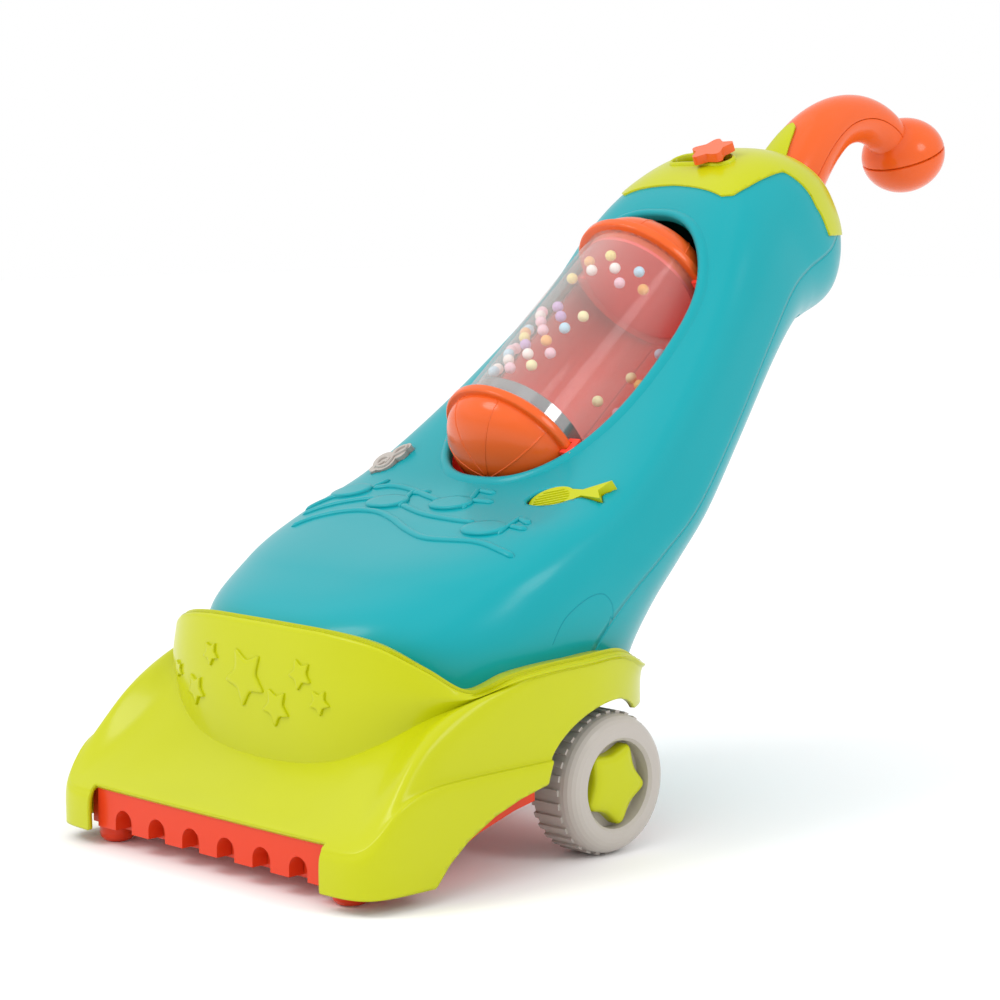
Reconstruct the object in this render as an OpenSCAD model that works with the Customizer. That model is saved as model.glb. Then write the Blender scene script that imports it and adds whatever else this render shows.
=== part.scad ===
// Toddler's push-along toy vacuum cleaner with a turning bead drum.
// Front of the toy is -Y, up is +Z, the floor is Z = 0 and the part is symmetric about X = 0.

/* [Head] */
// Wall of the lime head shell
head_wall = 2.4; // [2:0.1:3]
// Half width of the mouth that is cut in the front of the head
mouth_half_w = 87; // [80:1:92]
// Height of the top edge of the mouth
mouth_top = 31; // [28:0.5:34]
// Radius of the wheel arch, measured from the axle
arch_r = 42; // [40:0.5:46]
// Number of arched notches in the comb
comb_notches = 6; // [4:1:8]
// Width of one notch of the comb
notch_w = 13; // [9:0.5:16]
// Height of one notch of the comb
notch_h = 11; // [8:0.5:14]
// Thickness of the comb plate
comb_t = 9; // [6:0.25:10]
// Diameter of a front glide
glide_d = 18; // [14:0.5:22]
// Wall of the chassis tray
chassis_wall = 2.4; // [2:0.1:3]
// Ground clearance under the nose of the chassis
nose_z = 8; // [7:0.5:9]

/* [Wheels] */
// Outer diameter of a wheel
wheel_d = 72; // [68:1:76]
// Width of a wheel
wheel_w = 28; // [24:0.5:30]
// Distance between the outer faces of the two wheels
track_w = 232; // [228:1:236]
// Number of grip ribs round the tread
tread_ribs = 32; // [24:2:40]
// Diameter of the steel axle
axle_d = 6; // [5:0.25:8]
// Diameter of the dish in the wheel's outer face
dish_d = 44; // [40:1:48]
// Depth of that dish
dish_depth = 9; // [7:0.5:11]
// Radial running clearance of turning parts on a shaft
running_clearance = 0.08; // [0.05:0.01:0.1]

/* [Body] */
// Wall of the two body shells
body_wall = 2.4; // [2:0.1:3]
// Half width of the window
window_half_w = 55; // [50:1:57]
// Width of the raised lip round the window
lip_w = 5; // [3:0.5:7]
// Height of the lip above the body
lip_h = 2; // [1:0.25:3]
// Wall of the red drum liner
liner_wall = 2.2; // [1.8:0.1:3]
// Depth of the liner trough behind the drum axis
liner_depth = 47; // [45:0.5:50]

/* [Drum] */
// Outer diameter of the clear tube
tube_d = 76; // [72:0.5:77]
// Wall of the clear tube
tube_wall = 2; // [1.5:0.1:2.5]
// Distance between the flanges of the two end caps
drum_len = 132; // [126:1:138]
// Diameter of the flange on each end cap
flange_d = 84; // [81:0.5:85]
// Thickness of that flange
flange_t = 5; // [4:0.25:6]
// Height of the domed end caps
dome_h = 25; // [20:0.5:26]
// Diameter of a loose bead
bead_d = 6; // [4:0.5:7]
// Running gap between a flange and its cradle
cradle_gap = 0.3; // [0.2:0.05:0.5]

/* [Controls] */
// Travel of the two push buttons
button_travel = 2.5; // [1:0.25:3]
// Side clearance of a push button in its hole
button_gap = 0.4; // [0.3:0.05:0.6]
// Height of the button faces above the drum axis plane
button_top = 5.5; // [4.5:0.25:7]
// Outer radius of the star on the slide switch
star_r = 15; // [12:0.5:17]
// Half length of the slot of the slide switch
slot_half = 20; // [18:0.5:24]
// Half width of that slot
slot_r = 5.3; // [4.5:0.1:6]
// Thickness of the lime top cap
cap_t = 2.4; // [2:0.1:3]

/* [Handle] */
// Wall of the handle halves and the knob
handle_wall = 2.4; // [2:0.1:3]
// Diameter of the knob across its equator
knob_d = 50; // [44:1:54]
// Height of the knob along its own axis
knob_h = 44; // [40:1:48]

/* [Power] */
// Diameter of one battery cell
cell_d = 14.2; // [13.8:0.1:14.5]
// Length of one battery cell
cell_len = 50; // [48:0.5:51]
// Wall of the battery tray
tray_wall = 1.6; // [1.2:0.1:2]
// Diameter of the loudspeaker
speaker_d = 40; // [32:1:44]
// Width of the steel nose weight
weight_w = 136; // [110:1:136]

/* [Hidden] */

teal = "#00b3c4";
lime = "#d4de2a";
orange = "#f2702c";
red_orange = "#ee4a22";
liner_red = "#e23a2c";
pearl = "#c9c2bc";
steel = "#b8bcc2";
dark = "#2b2d30";

// Drum axis: it passes through this point and climbs to the back at this angle
axis_y = -71.7;
axis_z = 192.6;
axis_tilt = 39.5;
// Everything above the drum moves up its axis when the drum is made longer
drawn_drum_len = 132;
stretch_y = (drum_len - drawn_drum_len) * cos(axis_tilt);
stretch_z = (drum_len - drawn_drum_len) * sin(axis_tilt);
axle_y = -115;
axle_z = wheel_d / 2;
base_z = 80;
base_t = 3;
contact_gap = 0.3;
screw_r = 1.4;
screw_hole_r = 1.6;
screw_head_r = 2.8;
screw_head_t = 1.8;

// Curve helpers
function mix(a, b, t) = a + (b - a) * t;
function bend(v, e) = sign(v) * pow(abs(v), e);
function smooth(p, i, t) =
  let (a = p[max(i - 1, 0)], b = p[i], c = p[i + 1], d = p[min(i + 2, len(p) - 1)])
  (2 * b + (c - a) * t + (2 * a - 5 * b + 4 * c - d) * t * t
    + (3 * b - a - 3 * c + d) * t * t * t) / 2;
function along(p, s) = let (i = max(0, min(floor(s), len(p) - 2))) smooth(p, i, s - i);
function centre_of(ring, k) = sum([for (p = ring) p[k]]) / len(ring);
function sum(v, i = 0) = i == len(v) - 1 ? v[i] : v[i] + sum(v, i + 1);

// Closed skin through a list of rings with equal numbers of points
module loft(rings) {
  n = len(rings[0]);
  last = len(rings) - 1;
  ends = [for (k = [0, last]) [for (j = [0:2]) centre_of(rings[k], j)]];
  points = concat([for (ring = rings) each ring], ends);
  low = len(points) - 2;
  high = len(points) - 1;
  sides = [for (k = [0:last - 1], i = [0:n - 1]) let (j = (i + 1) % n)
    each [[k * n + j, k * n + i, (k + 1) * n + j], [(k + 1) * n + j, k * n + i, (k + 1) * n + i]]];
  bottom = [for (i = [0:n - 1]) [low, i, (i + 1) % n]];
  top = [for (i = [0:n - 1]) [high, last * n + (i + 1) % n, last * n + i]];
  polyhedron(points = points, faces = concat(sides, bottom, top));
}

// Lofted and cut pieces are joined into one closed skin
module skin() resize([0, 0, 0]) children();
module mirrored() {
  children();
  mirror([1, 0, 0]) children();
}
module along_x(length) rotate([90, 0, 90]) linear_extrude(height = length, center = true) children();

// Body shape: front point (y, z), back point (y, z), half width and squareness
drawn_rows = [
  [-242, 80, -46, 80, 101, 2.4],
  [-240, 116, -42, 92, 103, 2.4],
  [-203, 139, -31, 113, 104, 3.0],
  [-151, 158, -15, 134, 102, 4.6],
  [-99, 177, 3, 156, 98, 6.0],
  [-45, 217, 34, 187, 87, 5.0],
  [6, 268, 76, 225, 73, 3.8],
  [35, 309, 105, 245, 65, 3.2],
  [58, 331, 123, 250, 60, 2.9],
  [88, 345, 148, 260, 55, 2.8],
  [115, 347, 159, 283, 45, 2.6],
  [138, 338, 156, 304, 31, 2.4],
  [149, 326, 152, 316, 10, 2.2]
];
first_raised_row = 6;
body_rows = [for (i = [0:len(drawn_rows) - 1]) let (r = drawn_rows[i])
  i < first_raised_row ? r
    : [r[0] + stretch_y, r[1] + stretch_z, r[2] + stretch_y, r[3] + stretch_z, r[4], r[5]]];
back_squareness = 2.5;
body_sides = 34;
body_steps = 2;
seam_share = 0.61;

function body_ring(s, grow) =
  let (r = along(body_rows, s), f = [r[0], r[1]], b = [r[2], r[3]], half = norm(b - f) / 2,
    dir = (b - f) / (2 * half), mid = (f + b) / 2, w = max(r[4] + grow, 1))
  [for (i = [0:body_sides - 1])
    let (a = 360 * i / body_sides, e = 2 / (cos(a) > 0 ? r[5] : back_squareness),
      t = -max(half + grow, 1) * bend(cos(a), e))
    [w * bend(sin(a), e), mid[0] + dir[0] * t, mid[1] + dir[1] * t]];

function lowered(ring, drop) = [for (p = ring) [p[0], p[1], p[2] - drop]];

// Whole body grown outward by a distance, with an optional foot below its base
module body_solid(grow = 0, foot = 0, last = len(body_rows) - 1) {
  rings = [for (k = [0:last * body_steps]) body_ring(k / body_steps, grow)];
  loft(foot > 0 ? concat([lowered(rings[0], foot)], rings) : rings);
}

module body_hollow() body_solid(-body_wall, 1, len(body_rows) - 1.5);

function seam_point(s) = let (r = along(body_rows, s))
  [mix(r[0], r[2], seam_share), mix(r[1], r[3], seam_share)];

// Everything in front of the seam between the two body shells
module front_side() {
  top = len(body_rows) - 1;
  seam = [for (k = [0:top * body_steps]) seam_point(k / body_steps)];
  along_x(300)
    polygon(concat([[seam[0][0], 0]], seam, [[seam[len(seam) - 1][0] + 20, 420], [-300, 420], [-300, 0]]));
}

// Drum frame: local z runs up the drum axis, local -y points out of the window
module on_drum() translate([0, axis_y, axis_z]) rotate([axis_tilt - 90, 0, 0]) children();
// Front frame: local z points out of the window, local y runs up the drum axis
module on_front(x, u) on_drum() translate([x, 0, u]) rotate([90, 0, 0]) children();

// Window: an oval in the plane through its lower and its upper end
window_low = [-97, 177];
window_high = [33 + stretch_y, 315 + stretch_z];
window_half_l = norm(window_high - window_low) / 2;
window_slope = atan2(window_high[1] - window_low[1], window_high[0] - window_low[0]);
window_squareness = 2.5;

function oval(half_w, half_l, squareness, n = 56) =
  [for (i = [0:n - 1]) let (a = 360 * i / n)
    [half_w * bend(cos(a), 2 / squareness), half_l * bend(sin(a), 2 / squareness)]];

module window_prism(grow) {
  mid = (window_low + window_high) / 2;
  translate([0, mid[0], mid[1]])
    rotate([window_slope, 0, 0])
      translate([0, 0, -30])
        linear_extrude(height = 110)
          polygon(oval(window_half_w + grow, window_half_l + grow, window_squareness));
}

module window_lip() intersection() {
  difference() {
    body_solid(lip_h);
    body_hollow();
  }
  difference() {
    window_prism(lip_w);
    window_prism(0);
  }
}

// Head in plan: front y, rear y, half width and squareness of the skirt and of the visor above it
skirt_plan = [-287, -37, 119, 14];
visor_plan = [-246, -41, 117, 3];
rear_squareness = 2.3;
// Heights round the head, every 15 degrees from the front middle to the rear middle
nose_heights = [31, 31, 32, 35, 41, 50, 58, 62, 62, 60, 60, 60, 60];
crease_heights = [52, 57, 68, 80.5, 89, 96, 99, 99, 90, 85, 83, 82, 82];
rim_heights = [119, 118, 113.5, 103.5, 92.5, 99, 102, 102, 94, 89, 87, 86, 86];
swell_heights = [-1, -1, 0, 4, 7, 8, 6, 5, 4, 4, 4, 4, 4];
head_sides = 60;
rim_width = 22;

function plan_point(p, a, grow) =
  let (mid = (p[0] + p[1]) / 2, half = (p[1] - p[0]) / 2 + grow,
    e = 2 / (cos(a) > 0 ? p[3] : rear_squareness))
  [(p[2] + grow) * bend(sin(a), e), mid - half * bend(cos(a), e)];

// One rib of the head skin, from the lower edge over the nose and the crease to the visor's rim
function head_rib(a, grow) =
  let (k = (a > 180 ? 360 - a : a) / 15, nose = along(nose_heights, k) + grow,
    crease = along(crease_heights, k) + grow, rim = along(rim_heights, k) + grow,
    swell = along(swell_heights, k), low = plan_point(skirt_plan, a, grow),
    edge = plan_point(skirt_plan, a, grow - 4), high = plan_point(visor_plan, a, grow))
  [[low[0], low[1], 8], [low[0], low[1], mix(8, nose, 0.6)],
    concat(plan_point(skirt_plan, a, grow - 1.2), [nose - 4]), concat(edge, [nose]),
    concat(mix(edge, high, 0.35), [mix(nose, crease, 0.35) + swell]),
    concat(mix(edge, high, 0.7), [mix(nose, crease, 0.7) + swell * 0.9]),
    concat(high, [crease]),
    concat(plan_point(visor_plan, a, grow + 1.5), [mix(crease, rim, 0.45)]),
    concat(high, [rim]), concat(plan_point(visor_plan, a, grow - 3), [rim]),
    concat(plan_point(visor_plan, a, -rim_width), [rim - 1])];

module head_solid(grow = 0, foot = 0) {
  ribs = [for (i = [0:head_sides - 1]) head_rib(360 * i / head_sides, grow)];
  rings = [for (k = [0:len(ribs[0]) - 1]) [for (rib = ribs) rib[k]]];
  loft(foot > 0 ? concat([lowered(rings[0], foot)], rings) : rings);
}

// Curve of the lower edge of the head beside the wheels, and the room for the wheels
skirt_curve = [[-243, 8], [-234, 18], [-222, 27], [-205, 35.5], [-188, 41], [-172, 44.5], [-150, 47]];
fender_z = 69;

module head_cuts() {
  along_x(300) polygon(concat([[-243, -20]], skirt_curve, [[-150, fender_z], [0, fender_z], [0, -20]]));
  translate([0, axle_y, axle_z]) rotate([0, 90, 0]) cylinder(h = 300, r = arch_r, center = true, $fn = 64);
  translate([-mouth_half_w, -320, -10]) cube([2 * mouth_half_w, 50, mouth_top + 10]);
}

head_posts = [[74, -252], [94, -241]];
module head_shell() color(lime) skin() difference() {
  union() {
    difference() {
      head_solid();
      head_solid(-head_wall, 2);
    }
    intersection() {
      head_solid(-head_wall / 2);
      mirrored() for (p = head_posts)
        translate([p[0], p[1], floor_at(p[1]) + chassis_wall])
          cylinder(h = 60, r = 4.5, $fn = 24);
    }
  }
  head_cuts();
  body_solid(contact_gap, 20);
  mirrored() for (p = head_posts)
    translate([p[0], p[1], 0]) cylinder(h = floor_at(p[1]) + 14, r = screw_hole_r, $fn = 24);
}

// Chassis floor: level under the nose, then swept up to the axle
nose_y = -271.7;
floor_curve = [[nose_y, nose_z], [-236, nose_z], [-222, nose_z + 6], [-200, nose_z + 16], [-176, nose_z + 23],
  [-150, nose_z + 28], [-112, nose_z + 32], [-72, nose_z + 40]];
function floor_at(y) = lookup(y, floor_curve);
floor_half_w = 103;
well_x = track_w / 2 - wheel_w - 3;
chassis_tail_w = 78;
chassis_tail_y = -162;
base_posts = [[62, -186], [50, -88]];

module floor_band(low, high) polygon(concat(
  [for (p = floor_curve) [p[0], p[1] + low]],
  [for (i = [len(floor_curve) - 1:-1:0]) [floor_curve[i][0], floor_curve[i][1] + high]]));

module chassis() color(red_orange) difference() {
  union() {
    along_x(2 * floor_half_w) floor_band(0, chassis_wall);
    mirrored() translate([floor_half_w - chassis_wall / 2, 0, 0])
      along_x(chassis_wall) floor_band(0, 13);
    translate([-floor_half_w, nose_y, nose_z]) cube([2 * floor_half_w, chassis_wall, 20]);
    translate([0, axle_y, axle_z]) rotate([0, 90, 0]) cylinder(h = 2 * well_x, r = 8, center = true, $fn = 48);
    mirrored() for (p = base_posts)
      translate([p[0], p[1], floor_at(p[1]) + 0.5])
        cylinder(h = base_z - base_t - floor_at(p[1]) - 0.5, r = 6, $fn = 32);
  }
  mirrored() translate([chassis_tail_w, chassis_tail_y, -10]) cube([floor_half_w, 200, 120]);
  translate([0, axle_y, axle_z])
    rotate([0, 90, 0]) cylinder(h = 300, r = axle_d / 2 + 0.02, center = true, $fn = 48);
  mirrored() {
    for (p = head_posts) translate([p[0], p[1], -5]) cylinder(h = 40, r = screw_hole_r, $fn = 24);
    for (p = base_posts)
      translate([p[0], p[1], base_z - base_t - 14]) cylinder(h = 20, r = screw_hole_r, $fn = 24);
  }
}

comb_y = nose_y - contact_gap;
module front_comb() color(red_orange) difference() {
  translate([-mouth_half_w + 0.4, comb_y - comb_t, nose_z + 1.5])
    cube([2 * mouth_half_w - 0.8, comb_t, mouth_top - nose_z - 1.9]);
  pitch = 2 * mouth_half_w / (comb_notches + 0.6);
  for (i = [0:comb_notches - 1])
    translate([(i - (comb_notches - 1) / 2) * pitch, comb_y, nose_z]) {
      translate([-notch_w / 2, -comb_t - 1, 0]) cube([notch_w, comb_t + 2, notch_h - notch_w / 2 + 1.5]);
      translate([0, 1, notch_h - notch_w / 2 + 1.5])
        rotate([90, 0, 0]) cylinder(h = comb_t + 2, r = notch_w / 2, $fn = 32);
    }
}

glide_x = mouth_half_w + 1;
module front_glides() color(red_orange) mirrored()
  translate([glide_x, -268, 0]) rotate_extrude($fn = 48)
    polygon([[0, 0], [glide_d / 2 - 4, 0], [glide_d / 2 - 1.8, 0.9], [glide_d / 2 - 0.4, 2.6],
      [glide_d / 2, 4.6], [glide_d / 2, nose_z], [0, nose_z]]);

// Nose weight: a steel bar with a lower step in front, where the nose comes down
weight_rear_y = -236.5;
weight_d = 32;
weight_step_d = 8;
weight_h = 22;
weight_step_h = 6;
weight_hole_x = weight_w / 2 - 12;
weight_hole_y = weight_rear_y - weight_d / 2;
weight_front_y = weight_rear_y - weight_d;
module nose_weight() color(steel) translate([0, weight_front_y, nose_z + chassis_wall]) difference() {
  along_x(weight_w) polygon([[0, 0], [weight_d, 0], [weight_d, weight_h + weight_step_h],
    [weight_step_d, weight_h + weight_step_h], [weight_step_d, weight_h], [0, weight_h]]);
  mirrored() translate([weight_hole_x, weight_d / 2, -1])
    cylinder(h = weight_h + weight_step_h + 2, r = screw_hole_r, $fn = 24);
}

// Round-headed screw, its head seated at the origin and its shank along -z
module screw(length) {
  translate([0, 0, -length]) cylinder(h = length + 0.2, r = screw_r, $fn = 24);
  cylinder(h = screw_head_t, r = screw_head_r, $fn = 24);
}

module weight_screws() color(steel) mirrored()
  translate([weight_hole_x, weight_hole_y, nose_z + chassis_wall + weight_h + weight_step_h])
    screw(weight_h + weight_step_h);

module chassis_screws() color(steel) mirrored() for (p = head_posts)
  translate([p[0], p[1], floor_at(p[1])]) rotate([180, 0, 0]) screw(12);

// Wheel about its own axis: local z runs outward and the inner face lies at z = 0
tread_r = wheel_d / 2 - 1.2;
hub_r = 8;
nut_room = 4;
rib_w = 3;
module wheel_form() difference() {
  union() {
    rotate_extrude($fn = 96) polygon(concat(
      [[hub_r, 0.5], [hub_r, wheel_w - dish_depth - 3], [tread_r - 7, wheel_w - dish_depth - 3],
        [tread_r - 7, 1], [tread_r - 2, 0], [tread_r, 2]],
      [for (a = [0:15:90]) [tread_r - 8 + 8 * cos(a), wheel_w - 8 + 8 * sin(a)]],
      [[dish_d / 2 + 1.5, wheel_w], [dish_d / 2, wheel_w - 1.5], [dish_d / 2, wheel_w - dish_depth],
        [0, wheel_w - dish_depth], [0, 0.5]]));
    for (i = [0:tread_ribs - 1]) rotate(i * 360 / tread_ribs)
      translate([tread_r - 0.6, -rib_w / 2, 1.5]) cube([1.8, rib_w, wheel_w - 10]);
  }
  translate([0, 0, -1]) cylinder(h = wheel_w, r = axle_d / 2 + running_clearance, $fn = 48);
  translate([0, 0, wheel_w - dish_depth - nut_room]) cylinder(h = nut_room + 1, r = hub_r - 1.5, $fn = 48);
}

module at_wheel() translate([track_w / 2 - wheel_w, axle_y, axle_z]) rotate([0, 90, 0]) children();
module wheel_right() color(pearl) at_wheel() wheel_form();
module wheel_left() color(pearl) mirror([1, 0, 0]) at_wheel() wheel_form();

// Five-pointed star with rounded tips
function star_points(r_out, r_in) = [for (i = [0:9]) let (a = 90 + i * 36, r = i % 2 == 0 ? r_out : r_in)
  [r * cos(a), r * sin(a)]];
module soft_star(r_out, r_in, rounding) offset(r = rounding, $fn = 20)
  offset(delta = -rounding) offset(r = -rounding / 2, $fn = 20) offset(delta = rounding / 2)
    polygon(star_points(r_out, r_in));

hub_star_turn = -80;
module hub_star_form() translate([0, 0, wheel_w - dish_depth])
  rotate(hub_star_turn) linear_extrude(height = dish_depth - 1.5) soft_star(dish_d / 2 + 1, dish_d / 4 + 2.6, 3.4);
module hub_star_right() color(lime) at_wheel() hub_star_form();
module hub_star_left() color(lime) mirror([1, 0, 0]) at_wheel() hub_star_form();

axle_half = track_w / 2 - dish_depth - 1;
module rear_axle() color(steel) translate([0, axle_y, axle_z])
  rotate([0, 90, 0]) cylinder(h = 2 * axle_half, r = axle_d / 2, center = true, $fn = 48);

module axle_push_nuts() color(steel) mirrored()
  translate([track_w / 2 - dish_depth - nut_room + contact_gap, axle_y, axle_z]) rotate([0, 90, 0])
    difference() {
      cylinder(h = 1.6, r = hub_r - 1.5 - contact_gap, $fn = 32);
      translate([0, 0, -1]) cylinder(h = 4, r = axle_d / 2 + 0.01, $fn = 48);
    }

module base_plate() color(teal) difference() {
  translate([0, 0, base_z - base_t]) linear_extrude(height = base_t)
    polygon([for (p = body_ring(0, -1.5)) [p[0], p[1]]]);
  mirrored() for (p = base_posts)
    translate([p[0], p[1], base_z - base_t - 1]) cylinder(h = base_t + 2, r = screw_hole_r, $fn = 24);
}

module base_screws() color(steel) mirrored() for (p = base_posts) translate([p[0], p[1], base_z]) screw(12);

// Posts that join the two body shells: station and offset to the side
post_spots = [[1.6, 72], [7.4, 44]];
module on_seam(p) {
  r = along(body_rows, p[0]);
  at = seam_point(p[0]);
  translate([p[1], at[0], at[1]]) rotate([90 + atan2(r[3] - r[1], r[2] - r[0]), 0, 0]) children();
}

module shell_posts(r, low, high) mirrored() for (p = post_spots)
  on_seam(p) translate([0, 0, low]) cylinder(h = high - low, r = r, $fn = 24);

// Recess of the lime top cap, seen from above, and the height where it ends at the back
cap_half = [[36, 51], [42, 57], [44, 80], [44.5, 94], [49, 101], [55, 111], [60, 175]];
cap_rounding = 5;
cap_low_z = 300 + stretch_z;
module cap_outline(grow) translate([0, stretch_y]) offset(r = cap_rounding + grow, $fn = 32)
  offset(delta = -cap_rounding)
    polygon(concat(cap_half, [for (i = [len(cap_half) - 1:-1:0]) [-cap_half[i][0], cap_half[i][1]]]));

module cap_prism(grow) translate([0, 0, cap_low_z - grow]) linear_extrude(height = 120) cap_outline(grow);
cap_proud = 1.2;

module slot_shape(grow) hull() for (x = [-1, 1])
  translate([x * (slot_half - slot_r), 0]) circle(r = slot_r + grow, $fn = 32);
slot_y = 77 + stretch_y;
slot_z = 340.5 + stretch_z;
slot_lip = 2.5;
slot_tilt = 25;
// Slot frame: local z points out of the top of the body
module on_top() translate([0, slot_y, slot_z]) rotate([slot_tilt, 0, 0]) children();
module slot_prism(grow) on_top() translate([0, 0, -25]) linear_extrude(height = 50) slot_shape(grow);

// Handle: centre line (y, z) and radius, from inside the body to inside the knob
handle_line = [[122, 283, 21], [140, 310, 21], [156, 334, 20], [174, 352, 18], [194, 363, 15.5],
  [216, 366, 13.8], [236, 361, 12.8], [250, 350, 12.4], [256, 340, 12.4]];
handle_rows = [for (r = handle_line) [r[0] + stretch_y, r[1] + stretch_z, r[2]]];
handle_sides = 28;
handle_steps = 2;

function handle_dir(s) = let (a = along(handle_rows, max(s - 0.05, 0)),
  b = along(handle_rows, min(s + 0.05, len(handle_rows) - 1)), d = [b[0] - a[0], b[1] - a[1]]) d / norm(d);
// Ring of the handle at a station: angle 0 is the outside of the bend
function handle_arc(s, shrink, from, to, count) = let (r = along(handle_rows, s), d = handle_dir(s))
  [for (i = [0:count]) let (a = from + (to - from) * i / count, q = (r[2] - shrink))
    [q * sin(a), r[0] - d[1] * q * cos(a), r[1] + d[0] * q * cos(a)]];
handle_last = len(handle_rows) - 1;

module handle_solid(grow) loft([for (k = [0:handle_last * handle_steps])
  [for (i = [0:handle_sides - 1]) handle_arc(k / handle_steps, -grow, 360 * i / handle_sides, 0, 1)[0]]]);

module handle_half(from) {
  count = handle_sides / 2;
  loft_open([for (k = [0:handle_last * handle_steps]) concat(
    handle_arc(k / handle_steps, 0, from, from + 180, count),
    handle_arc(k / handle_steps, handle_wall, from + 180, from, count))]);
}

// Skin through rings of any outline, with flat ends
module loft_open(rings) {
  n = len(rings[0]);
  last = len(rings) - 1;
  sides = [for (k = [0:last - 1], i = [0:n - 1]) let (j = (i + 1) % n)
    each [[k * n + j, k * n + i, (k + 1) * n + j], [(k + 1) * n + j, k * n + i, (k + 1) * n + i]]];
  half = n / 2;
  bottom = [for (i = [0:half - 2]) each [[n - 1 - i, i, n - 2 - i], [n - 2 - i, i, i + 1]]];
  top = [for (i = [0:half - 2]) let (m = last * n)
    each [[m + n - 2 - i, m + i, m + n - 1 - i], [m + i + 1, m + i, m + n - 2 - i]]];
  polyhedron(points = [for (ring = rings) each ring], faces = concat(sides, bottom, top));
}

// Battery bay in the back of the rear shell: local z points out of the back
bay_station = 4.6;
function back_point(s) = let (r = along(body_rows, s)) [r[2], r[3]];
function back_slope(s) = let (d = back_point(s + 0.3) - back_point(s - 0.3)) atan2(d[1], d[0]);
module on_back(s) translate([0, back_point(s)[0], back_point(s)[1]])
  rotate([180 + back_slope(s), 0, 0]) children();
cells = 3;
cell_pitch = cell_d + 0.6;
tray_w = cells * cell_pitch + 2 * tray_wall + 0.6;
tray_l = cell_len + 7 + 2 * tray_wall;
tray_h = cell_d + tray_wall + 0.8;
flange = 3;
door_t = 2.4;
door_z = -0.6;
tray_floor_z = door_z - door_t - tray_h + tray_wall;

module slab(w, l, low, high) translate([-w / 2, -l / 2, low]) cube([w, l, high - low]);
// Round tab for the screw at one end of the door
tab_y = tray_l / 2 + flange + 0.4;
tab_r = 4.2;
module tab(grow, low, high) translate([0, tab_y, low]) cylinder(h = high - low, r = tab_r + grow, $fn = 32);
module bay_collar() on_back(bay_station) slab(tray_w + 12, tray_l + 20, door_z - door_t - 8, door_z + 3);
module bay_cut() on_back(bay_station) {
  tab(contact_gap, door_z - door_t - 2, 30);
  slab(tray_w + 2 * flange + 2 * contact_gap, tray_l + 2 * flange + 2 * contact_gap, door_z - door_t - 2, 30);
  slab(tray_w + 2 * contact_gap, tray_l + 2 * contact_gap, -60, 1);
}

speaker_station = 2.4;
speaker_h = 13;
speaker_gap = 5;
module speaker_collar() on_back(speaker_station) translate([0, 0, -speaker_gap - 7]) difference() {
  cylinder(h = 20, r = speaker_d / 2 + 2.6, $fn = 40);
  translate([0, 0, -1]) cylinder(h = 8, r = speaker_d / 2 + contact_gap, $fn = 40);
  translate([0, 0, 5]) cylinder(h = 20, r = speaker_d / 2 - 2, $fn = 40);
}
module speaker_slots() on_back(speaker_station) for (i = [-2:2])
  translate([0, i * 6, -10]) slab(2 * sqrt(pow(speaker_d / 2 - 4, 2) - pow(i * 6, 2)), 2.4, 0, 30);

// Room that the liner, the drum and the handle need in the shells
module inner_room() {
  liner_form(contact_gap);
  for (u = [0, drum_len]) cradle_room(u);
  handle_solid(contact_gap);
}

module body_blank(front) difference() {
  union() {
    difference() {
      body_solid();
      body_hollow();
    }
    if (front) window_lip();
    if (!front) intersection() {
      body_solid(-0.6);
      union() {
        bay_collar();
        speaker_collar();
      }
    }
    intersection() {
      body_solid(-0.6);
      union() {
        shell_posts(4.5, -100, 100);
        pin_bosses();
        if (front) board_posts(3.2, 40);
      }
    }
  }
  shell_posts(screw_hole_r, -22, 12);
  difference() {
    cap_prism(0.15);
    body_solid(-cap_t + cap_proud - 0.1);
  }
  slot_prism(0.6);
  at_pin() cylinder(h = 2 * pin_half + 1, r = pin_r + 0.05, center = true, $fn = 32);
  inner_room();
}

module body_front_shell() color(teal) skin() difference() {
  intersection() {
    body_blank(true);
    front_side();
  }
  window_prism(0);
  button_holes();
  board_posts_holes();
}

module body_rear_shell() color(teal) skin() difference() {
  body_blank(false);
  front_side();
  bay_cut();
  speaker_slots();
  shell_posts(screw_head_r + 0.4, -100, -12);
}

module body_screws() color(steel) mirrored() for (p = post_spots)
  on_seam(p) translate([0, 0, -12]) rotate([180, 0, 0]) screw(20);

// Liner: a trough behind the drum with two cradles that the cap flanges turn in
liner_low = -27;
liner_high = drum_len + 29;
liner_top = -6;
liner_half_w = 57;
cradle_half = flange_t / 2 + cradle_gap;
cradle_rib = 2.4;

function trough(half_w, depth, n = 24) = [for (i = [0:n]) let (a = 180 + 180 * i / n)
  [half_w * bend(cos(a), 0.75), liner_top + (depth + liner_top) * bend(sin(a), 0.75)]];

module trough_wall(grow) polygon(concat(
  trough(liner_half_w + grow, liner_depth + grow),
  [for (i = [24:-1:0]) trough(liner_half_w - liner_wall - grow, liner_depth - liner_wall - grow)[i]]));
module trough_end(grow, top) intersection() {
  polygon(trough(liner_half_w + grow, liner_depth + grow));
  translate([-100, -100]) square([200, 100 + top + grow]);
}

module in_drum(low, high) on_drum() translate([0, 0, low])
  linear_extrude(height = high - low) mirror([0, 1]) children();

module liner_form(grow) {
  in_drum(liner_low - grow, liner_high + grow) trough_wall(grow);
  in_drum(liner_low - grow, liner_low + liner_wall + grow) trough_end(grow, -22);
  in_drum(liner_high - liner_wall - grow, liner_high + grow) trough_end(grow, liner_top);
}

cradle_wall = 4;
cradle_edge = -4;
module cradle_room(u) on_drum() translate([0, 0, u]) intersection() {
  cylinder(h = 2 * (cradle_half + cradle_rib + contact_gap), r = flange_d / 2 + cradle_wall + contact_gap,
    center = true, $fn = 72);
  translate([-60, cradle_edge - contact_gap, -20]) cube([120, 60, 40]);
}

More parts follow.
